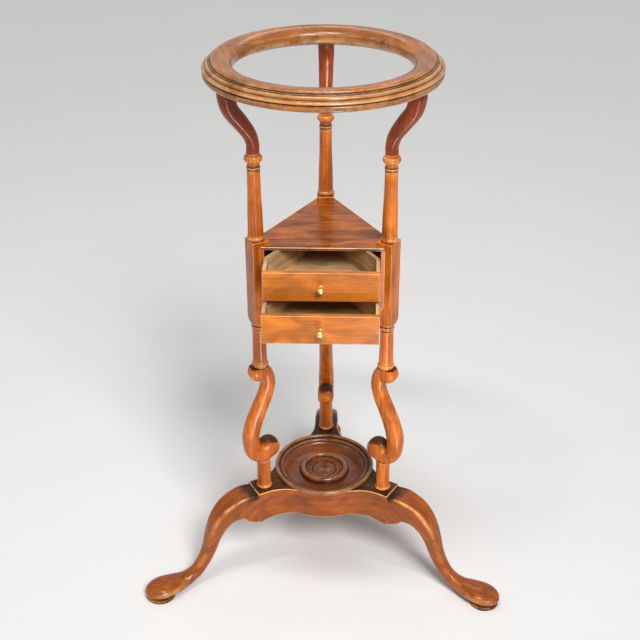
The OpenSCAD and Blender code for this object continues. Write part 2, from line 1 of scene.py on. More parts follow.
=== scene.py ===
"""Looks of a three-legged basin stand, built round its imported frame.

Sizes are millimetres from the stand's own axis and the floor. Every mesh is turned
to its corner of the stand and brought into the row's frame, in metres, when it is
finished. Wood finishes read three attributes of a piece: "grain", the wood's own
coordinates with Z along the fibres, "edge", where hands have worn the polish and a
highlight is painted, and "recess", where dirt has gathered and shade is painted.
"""

import json
import logging
import math
from dataclasses import dataclass
from enum import Enum
from typing import Callable, Sequence

import bmesh
import bpy
import numpy as np
from mathutils import Matrix, Vector

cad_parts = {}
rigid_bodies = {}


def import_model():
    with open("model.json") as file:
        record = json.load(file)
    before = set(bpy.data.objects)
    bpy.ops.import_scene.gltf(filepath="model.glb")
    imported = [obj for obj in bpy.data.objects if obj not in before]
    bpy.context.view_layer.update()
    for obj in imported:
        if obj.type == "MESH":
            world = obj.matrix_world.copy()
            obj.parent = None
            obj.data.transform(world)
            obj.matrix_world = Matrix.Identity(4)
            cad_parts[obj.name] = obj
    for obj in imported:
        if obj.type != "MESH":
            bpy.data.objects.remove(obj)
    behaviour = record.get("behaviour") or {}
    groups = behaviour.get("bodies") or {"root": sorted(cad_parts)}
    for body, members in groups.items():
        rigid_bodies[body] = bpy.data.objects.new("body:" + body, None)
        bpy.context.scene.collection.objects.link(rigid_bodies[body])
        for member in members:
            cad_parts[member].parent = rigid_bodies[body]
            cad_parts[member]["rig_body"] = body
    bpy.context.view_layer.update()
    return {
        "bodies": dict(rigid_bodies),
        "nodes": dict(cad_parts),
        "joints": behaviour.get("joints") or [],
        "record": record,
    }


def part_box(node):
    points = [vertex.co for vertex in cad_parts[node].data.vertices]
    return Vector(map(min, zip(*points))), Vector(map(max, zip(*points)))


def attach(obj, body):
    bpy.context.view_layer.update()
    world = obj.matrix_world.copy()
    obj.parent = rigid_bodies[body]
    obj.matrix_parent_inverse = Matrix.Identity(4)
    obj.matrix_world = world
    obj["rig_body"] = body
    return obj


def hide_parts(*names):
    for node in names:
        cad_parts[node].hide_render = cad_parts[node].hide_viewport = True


LOG = logging.getLogger("basin_stand")
MM = 0.001

# In millimetres: how far a turning's corner is eased, the shortest edge of a board that is
# rounded, and how near copied points are one
QUIRK_EASE, LONG_EDGE, SAME_POINT = 0.3, 9.0, 0.001
# In degrees: the least angle that is shaded as an edge, and the most within one plane
SHADING_BREAK, SAME_PLANE = 40.0, 0.4
LAID = Matrix.Rotation(math.pi / 2, 4, "X")

Point = tuple[float, float]
Triple = tuple[float, float, float]
Colour = Triple
Station = tuple[float, float, float, float, float]
Socket = bpy.types.NodeSocket
Sockets = dict[str | int, object]
Edge = bmesh.types.BMEdge


class Corner(Enum):
    """The stand's three corners: word in the names, angle in degrees about the axis."""

    LEFT = ("left", 210.0)
    RIGHT = ("right", 330.0)
    BACK = ("back", 90.0)

    @property
    def word(self) -> str:
        """The corner's word in node names."""
        return self.value[0]

    @property
    def angle(self) -> float:
        """The corner's angle about the axis, in radians."""
        return math.radians(self.value[1])

    def turn(self, direction: Sequence[float]) -> Vector:
        """A direction drawn with +X outwards, turned to this corner."""
        return Matrix.Rotation(self.angle, 3, "Z") @ Vector(direction)


class Fibres(Enum):
    """Common directions in which the fibres of a piece run."""

    UPRIGHT = (0.0, 0.0, 1.0)
    ACROSS = (1.0, 0.0, 0.0)
    INWARDS = (0.0, 1.0, 0.0)


# Curves and profiles


def lerp(a: float, b: float, share: float) -> float:
    """The value a share of the way from a to b."""
    return a + (b - a) * share


def arc(cx: float, cy: float, rx: float, ry: float, start: float, end: float,
        count: int) -> list[Point]:
    """Points along an elliptical arc.

    Args:
        cx, cy: Centre.
        rx, ry: Half axes.
        start, end: Angles in degrees.
        count: Number of spans.

    Returns:
        The points from the first angle to the last.
    """
    angles = [math.radians(lerp(start, end, i / count)) for i in range(count + 1)]
    return [(cx + rx * math.cos(a), cy + ry * math.sin(a)) for a in angles]


def bead(radius: float, bulge: float, low: float, height: float, count: int = 14) -> list[Point]:
    """A bead on a turning, given its outside radius, how far it stands out, its foot and its height."""
    return arc(radius - bulge, low + height / 2, bulge, height / 2, -90, 90, count)


def softened(profile: Sequence[Point], reach: float = QUIRK_EASE, turn: float = 30.0) -> list[Point]:
    """A profile whose sharp corners are cut by a small arc of three points.

    Args:
        profile: Points as radius and height.
        reach: How far from a corner the arc starts.
        turn: Corners that turn by more degrees than this are eased.

    Returns:
        The eased profile.
    """
    sharp, most = math.cos(math.radians(turn)), 0.45
    eased: list[Point] = [profile[0]]
    for before, corner, after in zip(profile, profile[1:], profile[2:]):
        a, c, b = Vector(before), Vector(corner), Vector(after)
        back, on = a - c, b - c
        if min(back.length, on.length) < 1e-6 or -back.normalized().dot(on.normalized()) > sharp:
            eased.append(corner)
            continue
        step = min(reach, back.length * most, on.length * most)
        first, last = c + back.normalized() * step, c + on.normalized() * step
        middle = (first + last) * 0.25 + c * 0.5
        eased += [tuple(first), tuple(middle), tuple(last)]
    return eased + [profile[-1]]


def densified(profile: Sequence[Point], longest: float = 6.0) -> list[Point]:
    """The same profile with no span longer than a given length."""
    dense: list[Point] = [profile[0]]
    for a, b in zip(profile, profile[1:]):
        parts = max(1, math.ceil(math.dist(a, b) / longest))
        dense += [(lerp(a[0], b[0], i / parts), lerp(a[1], b[1], i / parts)) for i in range(1, parts + 1)]
    return dense


def signed_power(value: float, exponent: float) -> float:
    """A power that keeps its sign."""
    return math.copysign(abs(value) ** exponent, value)


def section(station: Sequence[float], heading: Vector, sides: int) -> list[Vector]:
    """One cross-section of a carved member, square to its heading.

    Args:
        station: Radius, height, half thickness, half width and squareness.
        heading: Direction of the member in the plane of radius and height.
        sides: Number of points.

    Returns:
        Points with +X outwards, counted round the member.
    """
    radius, height, thick, wide, squareness = station
    points = []
    for i in range(sides):
        angle = 2 * math.pi * (i + 0.5) / sides
        u = thick * signed_power(math.cos(angle), 2 / squareness)
        v = wide * signed_power(math.sin(angle), 2 / squareness)
        points.append(Vector((radius - heading.y * u, v, height + heading.x * u)))
    return points


def along(degrees: float) -> Triple:
    """A level direction at an angle to +X."""
    return (math.cos(math.radians(degrees)), math.sin(math.radians(degrees)), 0.0)


# Meshes


class Shape:
    """A mesh in the making, in millimetres about the stand's axis.

    Its edges above SHARP can be eased. FULL_BEND is the curvature, in 1/mm, that counts
    as fully worn or fully hollow, measured over NEAREST mm or more; the worn mark also paints
    a highlight, and the hollow mark shade. Faces above BROAD mm2 take no mark, and dirt and
    painted shade reach up to REACH mm from a hollow in SPREADS steps. Points
    nearer than MERGED become one, and ON_PLANE is how near a saw's plane counts as on it.
    """

    SHARP = math.radians(38)
    FULL_BEND = 0.42
    BROAD = 60.0
    REACH = 1.7
    SPREADS = 3
    NEAREST = 0.5
    MERGED = 1e-4
    ON_PLANE = 1e-5

    def __init__(self, mesh: bpy.types.Mesh | None = None) -> None:
        """Starts an empty mesh, or a copy of one, with its two layers: wear and painted highlight, dirt
        and painted shade.
        """
        self.bm = bmesh.new()
        if mesh:
            self.bm.from_mesh(mesh)
        layers = self.bm.loops.layers.float
        self.edge = layers.get("edge") or layers.new("edge")
        self.recess = layers.get("recess") or layers.new("recess")

    def turned(self, profile: Sequence[Point], out: float = 0.0, steps: int = 72) -> "Shape":
        """Adds a turning.

        Args:
            profile: Points as radius and height, from one end to the other.
            out: Distance of its centre from the stand's axis, along +X.
            steps: Number of sides.

        Returns:
            This shape.
        """
        verts = [self.bm.verts.new((out + r, 0.0, z)) for r, z in profile]
        edges = [self.bm.edges.new(pair) for pair in zip(verts, verts[1:])]
        if profile[0][0] > 0 and profile[-1][0] > 0:
            edges.append(self.bm.edges.new((verts[-1], verts[0])))
        faces = set(self.bm.faces)
        bmesh.ops.spin(
            self.bm, geom=verts + edges, cent=(out, 0, 0), axis=(0, 0, 1), dvec=(0, 0, 0),
            angle=2 * math.pi, steps=steps, use_merge=True, use_duplicate=False,
        )
        return self._closed([f for f in self.bm.faces if f not in faces])

    def moved(self, matrix: Matrix) -> "Shape":
        """Moves or turns the whole shape."""
        bmesh.ops.transform(self.bm, verts=self.bm.verts, matrix=matrix)
        return self

    def carved(self, stations: Sequence[Station], sides: int, steps: int = 8) -> "Shape":
        """Adds a carved member, skinned over sections along a smooth curve through its stations.

        Args:
            stations: Radius, height, half thickness, half width and squareness.
            sides: Number of points round a section.
            steps: Spans between two stations.

        Returns:
            This shape.
        """
        points = [np.array(s, float) for s in stations]
        ends = [2 * points[0] - points[1], *points, 2 * points[-1] - points[-2]]
        rings = []
        for p0, p1, p2, p3 in zip(ends, ends[1:], ends[2:], ends[3:]):
            bend, twist = 2 * p0 - 5 * p1 + 4 * p2 - p3, 3 * p1 - p0 - 3 * p2 + p3
            for t in [j / steps for j in range(steps)]:
                value = 0.5 * (2 * p1 + (p2 - p0) * t + bend * t * t + twist * t**3)
                slope = 0.5 * ((p2 - p0) + 2 * bend * t + 3 * twist * t * t)
                rings.append(section(value, Vector(slope[:2]).normalized(), sides))
        rings.append(section(points[-1], Vector((points[-1] - points[-2])[:2]).normalized(), sides))

        faces = set(self.bm.faces)
        ring = bmesh.ops.create_circle(self.bm, cap_ends=False, segments=sides, radius=1)["verts"]
        for vert, place in zip(ring, rings[0]):
            vert.co = place
        mouths = [self._edges_of(ring)]
        for places in rings[1:]:
            grown = bmesh.ops.extrude_edge_only(self.bm, edges=self._edges_of(ring))["geom"]
            fresh = {g for g in grown if isinstance(g, bmesh.types.BMVert)}
            ring = [next(e.other_vert(v) for e in v.link_edges if e.other_vert(v) in fresh) for v in ring]
            for vert, place in zip(ring, places):
                vert.co = place
        mouths.append(self._edges_of(ring))
        for loop in mouths:
            bmesh.ops.holes_fill(self.bm, edges=loop, sides=0)
        return self._closed([f for f in self.bm.faces if f not in faces])

    def shown(self, name: str) -> bpy.types.Object:
        """The finished mesh as an object of the scene. The shape is used up."""
        mesh = bpy.data.meshes.new(name)
        self.bm.to_mesh(mesh)
        self.bm.free()
        made = bpy.data.objects.new(name, mesh)
        bpy.context.scene.collection.objects.link(made)
        return made

    def joined(self, other: "Shape") -> "Shape":
        """Takes over the faces of another shape, which is used up."""
        spare = bpy.data.meshes.new("spare")
        other.bm.to_mesh(spare)
        other.bm.free()
        self.bm.from_mesh(spare)
        bpy.data.meshes.remove(spare)
        return self

    def sawn(self, place: Sequence[float], away: Sequence[float]) -> "Shape":
        """Cuts off what lies beyond a plane and closes the cut.

        Args:
            place: A point of the plane.
            away: Direction of what is cut off.

        Returns:
            This shape.
        """
        geometry = list(self.bm.verts) + list(self.bm.edges) + list(self.bm.faces)
        cut = bmesh.ops.bisect_plane(
            self.bm, geom=geometry, dist=self.ON_PLANE, plane_co=Vector(place), plane_no=Vector(away),
            clear_outer=True,
        )["geom_cut"]
        rim = [g for g in cut if isinstance(g, Edge) and len(g.link_faces) == 1]
        if rim:
            bmesh.ops.holes_fill(self.bm, edges=rim, sides=0)
        return self

    def eased(self, width: float, chosen: Callable[[Edge], bool], segments: int = 3) -> "Shape":
        """Rounds sharp outside edges and marks them as worn, which also paints a highlight along them.

        Args:
            width: How far each face is cut back.
            chosen: Tells which of the sharp edges are rounded.
            segments: Number of faces round each edge.

        Returns:
            This shape.
        """
        sharp = [
            e for e in self.bm.edges
            if len(e.link_faces) == 2 and e.is_convex and e.calc_face_angle() > self.SHARP and chosen(e)
        ]
        if not sharp:
            return self
        made = bmesh.ops.bevel(
            self.bm, geom=sharp, offset=width, offset_type="OFFSET", affect="EDGES", segments=segments,
            profile=0.5, material=-1, clamp_overlap=False,
        )["faces"]
        for face in made:
            for loop in face.loops:
                loop[self.edge] = 1.0
        return self

    def bends_marked(self) -> "Shape":
        """Marks how far the surface bulges or hollows, except on broad flat faces."""
        self.bm.normal_update()
        bend: dict[bmesh.types.BMVert, tuple[float, float]] = {}
        for vert in self.bm.verts:
            out = inwards = 0.0
            for edge in vert.link_edges:
                step = edge.other_vert(vert).co - vert.co
                if step.length_squared > 1e-6:
                    curve = 2 * vert.normal.dot(step) / max(step.length_squared, self.NEAREST**2)
                    out, inwards = max(out, -curve), max(inwards, curve)
            bend[vert] = (min(out / self.FULL_BEND, 1), min(inwards / self.FULL_BEND, 1))
        for _ in range(self.SPREADS):
            wider = {}
            for vert, (out, inwards) in bend.items():
                for edge in vert.link_edges:
                    share = 1 - edge.calc_length() / self.REACH
                    if share > 0:
                        inwards = max(inwards, bend[edge.other_vert(vert)][1] * share)
                wider[vert] = (out, inwards)
            bend = wider
        for face in self.bm.faces:
            if face.calc_area() > self.BROAD:
                continue
            for loop in face.loops:
                # Bulges take the edge mark, wear with a painted highlight; hollows take the recess mark,
                # dirt with painted shade
                loop[self.edge] = max(loop[self.edge], bend[loop.vert][0])
                loop[self.recess] = max(loop[self.recess], bend[loop.vert][1])
        return self

    def soiled(self, amount: float, share: Callable[[Vector], float]) -> "Shape":
        """Darkens the faces' corners in the recess layer, which holds dirt and painted shade.

        Args:
            amount: The most darkening that is laid, from 0 to 1.
            share: The share of it at a place; it is held between 0 and 1.

        Returns:
            This shape.
        """
        for face in self.bm.faces:
            for loop in face.loops:
                laid = amount * min(1.0, max(0.0, share(loop.vert.co)))
                loop[self.recess] = max(loop[self.recess], laid)
        return self

    def _edges_of(self, ring: Sequence[bmesh.types.BMVert]) -> list[Edge]:
        """The edges that join neighbours of a closed ring of vertices."""
        return [self.bm.edges.get((a, b)) for a, b in zip(ring, [*ring[1:], ring[0]])]

    def _closed(self, faces: list[bmesh.types.BMFace]) -> "Shape":
        """Merges seams and poles among some faces and points them outwards."""
        verts = list({v for f in faces for v in f.verts})
        bmesh.ops.remove_doubles(self.bm, verts=verts, dist=self.MERGED)
        bmesh.ops.dissolve_degenerate(self.bm, edges=self.bm.edges[:], dist=self.ON_PLANE)
        kept = [f for f in self.bm.faces if f.is_valid]
        bmesh.ops.recalc_face_normals(self.bm, faces=kept)
        return self


# Finishes


class Graph:
    """Short ways to add nodes to a material or node group."""

    def __init__(self, tree: bpy.types.NodeTree) -> None:
        """Keeps the tree that the nodes go into."""
        self.tree = tree

    def add(self, kind: str, sockets: Sockets | None = None, **settings: object) -> bpy.types.Node:
        """Adds a node.

        Args:
            kind: The node's type, without its common prefix.
            sockets: Values or links for its inputs, by name or number.
            settings: Properties of the node.

        Returns:
            The new node.
        """
        node = self.tree.nodes.new(f"ShaderNode{kind}")
        for name, value in settings.items():
            setattr(node, name, value)
        self.fed(node, sockets or {})
        return node

    def join(self, source: object, target: Socket) -> None:
        """Links a socket to an input, or sets the input to a value."""
        if isinstance(source, Socket):
            self.tree.links.new(source, target)
        elif isinstance(source, tuple) and len(source) == 3 and target.type == "RGBA":
            target.default_value = (*source, 1.0)
        else:
            target.default_value = source

    def fed(self, node: bpy.types.Node, sockets: Sockets) -> None:
        """Joins values or links to a node's inputs, by name or number."""
        for key, source in sockets.items():
            self.join(source, node.inputs[key])

    def plus(self, a: object, b: object, clamp: bool = False) -> Socket:
        """The sum of two values."""
        return self._sum("ADD", a, b, clamp)

    def less(self, a: object, b: object, clamp: bool = False) -> Socket:
        """The first value less the second."""
        return self._sum("SUBTRACT", a, b, clamp)

    def times(self, a: object, b: object, clamp: bool = False) -> Socket:
        """The product of two values."""
        return self._sum("MULTIPLY", a, b, clamp)

    def larger(self, a: object, b: object) -> Socket:
        """The larger of two values."""
        return self._sum("MAXIMUM", a, b)

    def ramp(self, value: object, low: float, high: float, to: Point = (0.0, 1.0)) -> Socket:
        """A value spread smoothly from one range to another, and held at its ends."""
        sockets = {0: value, 1: low, 2: high, 3: to[0], 4: to[1]}
        return self.add("MapRange", sockets, interpolation_type="SMOOTHSTEP").outputs[0]

    def stretched(self, vector: object, by: Triple, moved: Triple = (0.0, 0.0, 0.0)) -> Socket:
        """Coordinates scaled along their axes and shifted."""
        return self.add("Mapping", {"Vector": vector, "Scale": by, "Location": moved}).outputs[0]

    def mixed(self, factor: object, a: object, b: object, mode: str = "MIX") -> Socket:
        """Two colours mixed by a factor."""
        return self.add("Mix", {0: factor, 6: a, 7: b}, data_type="RGBA", blend_type=mode).outputs[2]

    def _sum(self, operation: str, a: object, b: object, clamp: bool = False) -> Socket:
        """One step of arithmetic on two values."""
        return self.add("Math", {0: a, 1: b}, operation=operation, use_clamp=clamp).outputs[0]


@dataclass(frozen=True)
class Cloud:
    """One noise: its fineness, its coordinates' stretch and shift, and what is made of its range."""

    scale: float
    detail: float
    rough: float
    twist: float = 0.0
    stretch: Triple | None = None
    moved: Triple = (0.0, 0.0, 0.0)
    span: Point | None = None
    to: Point = (0.0, 1.0)

    def laid(self, graph: Graph, at: object) -> Socket:
        """Adds the noise.

        Args:
            graph: Where its nodes go.
            at: Its coordinates.

        Returns:
            Its value, or, where it has a span, that span spread out.
        """
        place = graph.stretched(at, self.stretch, self.moved) if self.stretch else at
        sockets = {"Vector": place, "Scale": self.scale, "Detail": self.detail, "Roughness": self.rough}
        value = graph.add("TexNoise", {**sockets, "Distortion": self.twist}).outputs["Fac"]
        return graph.ramp(value, *self.span, self.to) if self.span else value


class Effect:
    """A shader node group that is made once and used in several materials.

    GIVEN and MADE hold the names of its inputs and outputs, by kind.
    """

    TITLE: str
    GIVEN: dict[str, Sequence[str]]
    MADE: dict[str, Sequence[str]]

    def build(self, graph: Graph, asked: Sockets) -> Sockets:
        """Adds the nodes inside.

        Args:
            graph: Where they go.
            asked: The group's inputs by name.

        Returns:
            What goes to each output.
        """
        raise NotImplementedError

    def tree(self) -> bpy.types.NodeTree:
        """The group, made on its first use."""
        if self.TITLE in bpy.data.node_groups:
            return bpy.data.node_groups[self.TITLE]
        tree = bpy.data.node_groups.new(self.TITLE, "ShaderNodeTree")
        for way, sockets in (("INPUT", self.GIVEN), ("OUTPUT", self.MADE)):
            for kind, label in [(kind, label) for kind, labels in sockets.items() for label in labels]:
                tree.interface.new_socket(label, in_out=way, socket_type=f"NodeSocket{kind}")
        given, result = tree.nodes.new("NodeGroupInput"), tree.nodes.new("NodeGroupOutput")
        graph = Graph(tree)
        graph.fed(result, self.build(graph, {socket.name: socket for socket in given.outputs}))
        return tree

    def placed(self, graph: Graph, sockets: Sockets) -> Sockets:
        """Adds the group to a material with its own values, and returns its outputs by name."""
        node = graph.add("Group", sockets, node_tree=self.tree())
        return {socket.name: socket for socket in node.outputs}


@dataclass(frozen=True)
class Figure(Effect):
    """The figure of mahogany: growth bands, fibres, mottle and open pores."""

    TITLE = "Mahogany figure"
    GIVEN = {
        "Vector": ("Grain",), "Color": ("Pale", "Deep", "Dark"),
        "Float": ("Contrast", "Mottle", "Pores"),
    }
    MADE = {"Color": ("Colour",), "Float": ("Height",)}
    streaks: Cloud = Cloud(130, 4, 0.6, 0.5, (1, 1, 0.045))
    fibres: Cloud = Cloud(900, 3, 0.6, 0.0, (1, 1, 0.022), (0.3, 0, 0.1))
    mottle: Cloud = Cloud(48, 3, 0.5, 0.9, (1, 1, 0.42), (0, 0.7, 0), (0.3, 0.7), (-0.5, 0.5))
    pores: Cloud = Cloud(1500, 2, 0.5, 0.0, (1, 1, 0.055), (0.9, 0.2, 0), (0.60, 0.70))
    band_stretch: Triple = (1, 0.35, 0.04)
    band_scale: float = 62.0
    band_waver: float = 4.5
    band_detail: Point = (2.5, 1.4)
    shares: Triple = (0.66, 0.27, 0.07)
    line_range: Point = (0.34, 0.66)
    relief: Point = (0.35, 0.8)

    def build(self, graph: Graph, asked: Sockets) -> Sockets:
        """Mixes the bands, fibres and mottle, with the pores on top."""
        at = asked["Grain"]
        fibres, pores = self.fibres.laid(graph, at), self.pores.laid(graph, at)
        detail, fineness = self.band_detail
        bands = graph.add("TexWave", {
            "Vector": graph.stretched(at, self.band_stretch), "Scale": self.band_scale,
            "Distortion": self.band_waver, "Detail": detail, "Detail Scale": fineness,
        }, bands_direction="X")
        parts = (self.streaks.laid(graph, at), fibres, bands.outputs["Fac"])
        first, second, third = [graph.times(part, share) for part, share in zip(parts, self.shares)]
        line = graph.ramp(graph.plus(graph.plus(first, second), third), *self.line_range)
        spread = graph.plus(graph.times(graph.less(line, 0.5), asked["Contrast"]), 0.5, True)
        colour = graph.mixed(spread, asked["Deep"], asked["Pale"])
        shade = graph.plus(graph.times(self.mottle.laid(graph, at), asked["Mottle"]), 1.0)
        tint = graph.add("CombineXYZ", {0: shade, 1: shade, 2: shade}).outputs[0]
        colour = graph.mixed(1.0, colour, tint, "MULTIPLY")
        colour = graph.mixed(graph.times(pores, asked["Pores"]), colour, asked["Dark"])
        height = graph.less(graph.times(fibres, self.relief[0]), graph.times(pores, self.relief[1]))
        return {"Colour": colour, "Height": height}


@dataclass(frozen=True)
class Wear(Effect):
    """Patchy wear with a painted highlight on edges, and patchy dirt with painted shade in hollows."""

    TITLE = "Wear, sheen, dirt and shade"
    GIVEN = {"Vector": ("Place",), "Float": ("Edge", "Recess", "Wear", "HollowDarkening")}
    MADE = {"Float": ("RubbedAndSheen", "Darkened")}
    patches: Cloud = Cloud(42, 4, 0.62)
    specks: Cloud = Cloud(260, 3, 0.6)
    shares: Point = (0.7, 0.3)
    # The edge mark is wear and a painted highlight; the hollow mark is dirt and painted shade
    marks: tuple[tuple, ...] = (
        ("Edge", "Wear", "RubbedAndSheen", (0.3, 0.62), (0.25, 1.25), (0.12, 0.95)),
        ("Recess", "HollowDarkening", "Darkened", (0.35, 0.65), (1.3, 0.7), (0.06, 0.75)),
    )

    def build(self, graph: Graph, asked: Sockets) -> Sockets:
        """Makes the marks of edges and hollows patchy."""
        clouds = [cloud.laid(graph, asked["Place"]) for cloud in (self.patches, self.specks)]
        patchy = graph.plus(*[graph.times(cloud, share) for cloud, share in zip(clouds, self.shares)])
        made = {}
        for source, amount, output, span, gain, limits in self.marks:
            broken = graph.times(asked[source], graph.ramp(patchy, *span, gain))
            made[output] = graph.times(graph.ramp(broken, *limits), asked[amount], True)
        return made


@dataclass(frozen=True)
class Polish(Effect):
    """Old polish: dull smears, fine scratches and small pits."""

    TITLE = "Old polish"
    GIVEN = {"Vector": ("Place",)}
    MADE = {"Float": ("Dull", "Height")}
    smears: Cloud = Cloud(22, 4, 0.6, 0.4)
    smear_span: Point = (0.35, 0.7)
    lines: Cloud = Cloud(1, 2, 0.4, 0.3, (30, 30, 900), (0.2, 0, 0), (0.66, 0.72))
    crossings: Cloud = Cloud(1, 2, 0.4, 0.3, (520, 40, 40), (0, 0.5, 0), (0.68, 0.74))
    pits: Cloud = Cloud(330, 2, 0.5, span=(0.7, 0.78))
    dulling: Point = (0.6, 0.35)
    relief: Triple = (0.5, 0.6, 0.25)

    def build(self, graph: Graph, asked: Sockets) -> Sockets:
        """Lays smears, scratches and pits over each other."""
        clouds = (self.smears, self.pits, self.lines, self.crossings)
        smears, pits, *lines = [cloud.laid(graph, asked["Place"]) for cloud in clouds]
        scratches = graph.larger(*lines)
        dull = graph.times(graph.ramp(smears, *self.smear_span), self.dulling[0])
        parts = zip((smears, pits, scratches), self.relief)
        swell, pitted, scored = [graph.times(part, share) for part, share in parts]
        return {
            "Dull": graph.plus(dull, graph.times(scratches, self.dulling[1])),
            "Height": graph.less(graph.less(swell, pitted), scored),
        }


class Surface(Graph):
    """The nodes of a new material, with the places and attributes that a finish reads."""

    def __init__(self, name: str) -> None:
        """Makes the material."""
        self.made = bpy.data.materials.new(name)
        self.made.use_nodes = True
        super().__init__(self.made.node_tree)
        self.shader = self.tree.nodes["Principled BSDF"]
        self.place = self.add("TexCoord").outputs["Object"]

    def attribute(self, name: str, output: str = "Fac") -> Socket:
        """One attribute of the piece."""
        return self.add("Attribute", attribute_name=name).outputs[output]

    def raised(self, height: object, relief: float) -> Socket:
        """The normal over a height, in metres of relief."""
        return self.add("Bump", {"Height": height, "Distance": relief, "Strength": 1.0}).outputs[0]

    def finished(self, sockets: Sockets) -> bpy.types.Material:
        """Joins the shader's inputs and returns the material."""
        self.fed(self.shader, sockets)
        return self.made


@dataclass(frozen=True)
class WoodFinish:
    """A wood and its polish. Colours are linear and relief is in metres."""

    name: str
    pale: Colour
    deep: Colour
    dark: Colour
    # Colour of worn edges and bulges, which also paints a highlight along them
    worn: Colour
    # Colour of hollows, which paints shade in them as well as dirt
    dirt: Colour
    contrast: float = 1.0
    mottle: float = 0.35
    pores: float = 0.4
    # Amounts of the edge colour, wear and painted highlight, and of the hollow colour, dirt and painted
    # shade
    wear: float = 0.5
    grime: float = 0.7
    gloss: Point = (0.22, 0.44)
    specular: float = 0.16
    coat: float = 0.36
    coat_roughness: float = 0.15
    coat_lost: float = 0.9
    figure_relief: float = 0.5
    relief: float = 0.00005

    def material(self) -> bpy.types.Material:
        """The material, mixed from the shared groups."""
        skin = Surface(self.name)
        figure = Figure().placed(skin, {
            "Grain": skin.attribute("grain", "Vector"), "Pale": self.pale, "Deep": self.deep,
            "Dark": self.dark, "Contrast": self.contrast, "Mottle": self.mottle, "Pores": self.pores})
        wear = Wear().placed(skin, {
            "Place": skin.place, "Edge": skin.attribute("edge"), "Recess": skin.attribute("recess"),
            "Wear": self.wear, "HollowDarkening": self.grime})
        polish = Polish().placed(skin, {"Place": skin.place})
        # Edges mix towards the worn colour, a painted highlight as well as wear; hollows towards the dirt
        # colour, painted shade as well as dirt
        dirty_and_shaded = wear["Darkened"]
        colour = skin.mixed(wear["RubbedAndSheen"], figure["Colour"], self.worn)
        height = skin.plus(skin.times(figure["Height"], self.figure_relief), polish["Height"])
        kept = skin.less(1.0, skin.times(dirty_and_shaded, self.coat_lost), True)
        return skin.finished({
            "Base Color": skin.mixed(dirty_and_shaded, colour, self.dirt),
            "Roughness": skin.ramp(skin.plus(polish["Dull"], dirty_and_shaded, True), 0.0, 1.0, self.gloss),
            "Coat Weight": skin.times(kept, self.coat),
            "Normal": skin.raised(height, self.relief),
            "Coat Roughness": self.coat_roughness,
            "Specular IOR Level": self.specular,
        })


@dataclass(frozen=True)
class BrassFinish:
    """Turned brass that hands keep bright, with tarnish in its hollows."""

    name: str = "turned_brass"
    bright: Colour = (0.95, 0.68, 0.24)
    tarnish: Colour = (0.38, 0.21, 0.06)
    gloss: Point = (0.36, 0.5)
    grime: float = 0.9
    stains: Cloud = Cloud(420, 3, 0.6, span=(0.45, 0.75), to=(0.0, 0.35))
    relief: float = 0.00003

    def material(self) -> bpy.types.Material:
        """The material, mixed from the shared groups."""
        skin = Surface(self.name)
        wear = Wear().placed(skin, {
            "Place": skin.place, "Edge": 0.0, "Recess": skin.attribute("recess"), "Wear": 0.0,
            "HollowDarkening": self.grime})
        stain = skin.plus(wear["Darkened"], self.stains.laid(skin, skin.place), True)
        polish = Polish().placed(skin, {"Place": skin.place})
        return skin.finished({
            "Base Color": skin.mixed(stain, self.bright, self.tarnish),
            "Roughness": skin.ramp(stain, 0.0, 1.0, self.gloss),
            "Normal": skin.raised(polish["Height"], self.relief),
            "Metallic": 1.0,
        })


# Its bright worn colour paints the highlight on the blocks' ridges and the beads, with their wear
POLISHED = WoodFinish(
    "polished_mahogany", pale=(0.66, 0.165, 0.008), deep=(0.24, 0.036, 0.003), dark=(0.08, 0.014, 0.003),
    worn=(0.80, 0.38, 0.11), dirt=(0.022, 0.008, 0.004), contrast=0.6, mottle=0.5, wear=0.6, grime=0.9,
)
# A darker copy of the mahogany for the arms: partly a darker polish, partly painted shade for arms that
# are lit less
ARM_WOOD = WoodFinish(
    "deep_mahogany", pale=(0.32, 0.046, 0.003), deep=(0.10, 0.013, 0.002), dark=(0.04, 0.008, 0.002),
    worn=(0.50, 0.17, 0.04), dirt=(0.018, 0.007, 0.004), contrast=0.55, mottle=0.5, coat=0.3,
)
RING_WOOD = WoodFinish(
    "ring_mahogany", pale=(0.35, 0.115, 0.022), deep=(0.125, 0.034, 0.008), dark=(0.045, 0.014, 0.005),
    worn=(0.54, 0.30, 0.125), dirt=(0.016, 0.008, 0.005), wear=0.65, grime=0.8, contrast=0.6, mottle=0.5,
)
# Its bright worn colour paints the highlight along the platform's and legs' edges, with their wear
BASE_WOOD = WoodFinish(
    "base_mahogany", pale=(0.40, 0.095, 0.008), deep=(0.15, 0.028, 0.004), dark=(0.05, 0.012, 0.003),
    worn=(0.84, 0.42, 0.13), dirt=(0.014, 0.007, 0.004), wear=0.9, grime=0.95, contrast=0.5, mottle=0.45,
)
DISH_WOOD = WoodFinish(
    "dish_mahogany", pale=(0.26, 0.062, 0.009), deep=(0.08, 0.016, 0.004), dark=(0.025, 0.008, 0.003),
    worn=(0.50, 0.24, 0.09), dirt=(0.010, 0.005, 0.003), wear=0.4, grime=0.75, contrast=0.6,
    coat=0.8, coat_roughness=0.22,
)
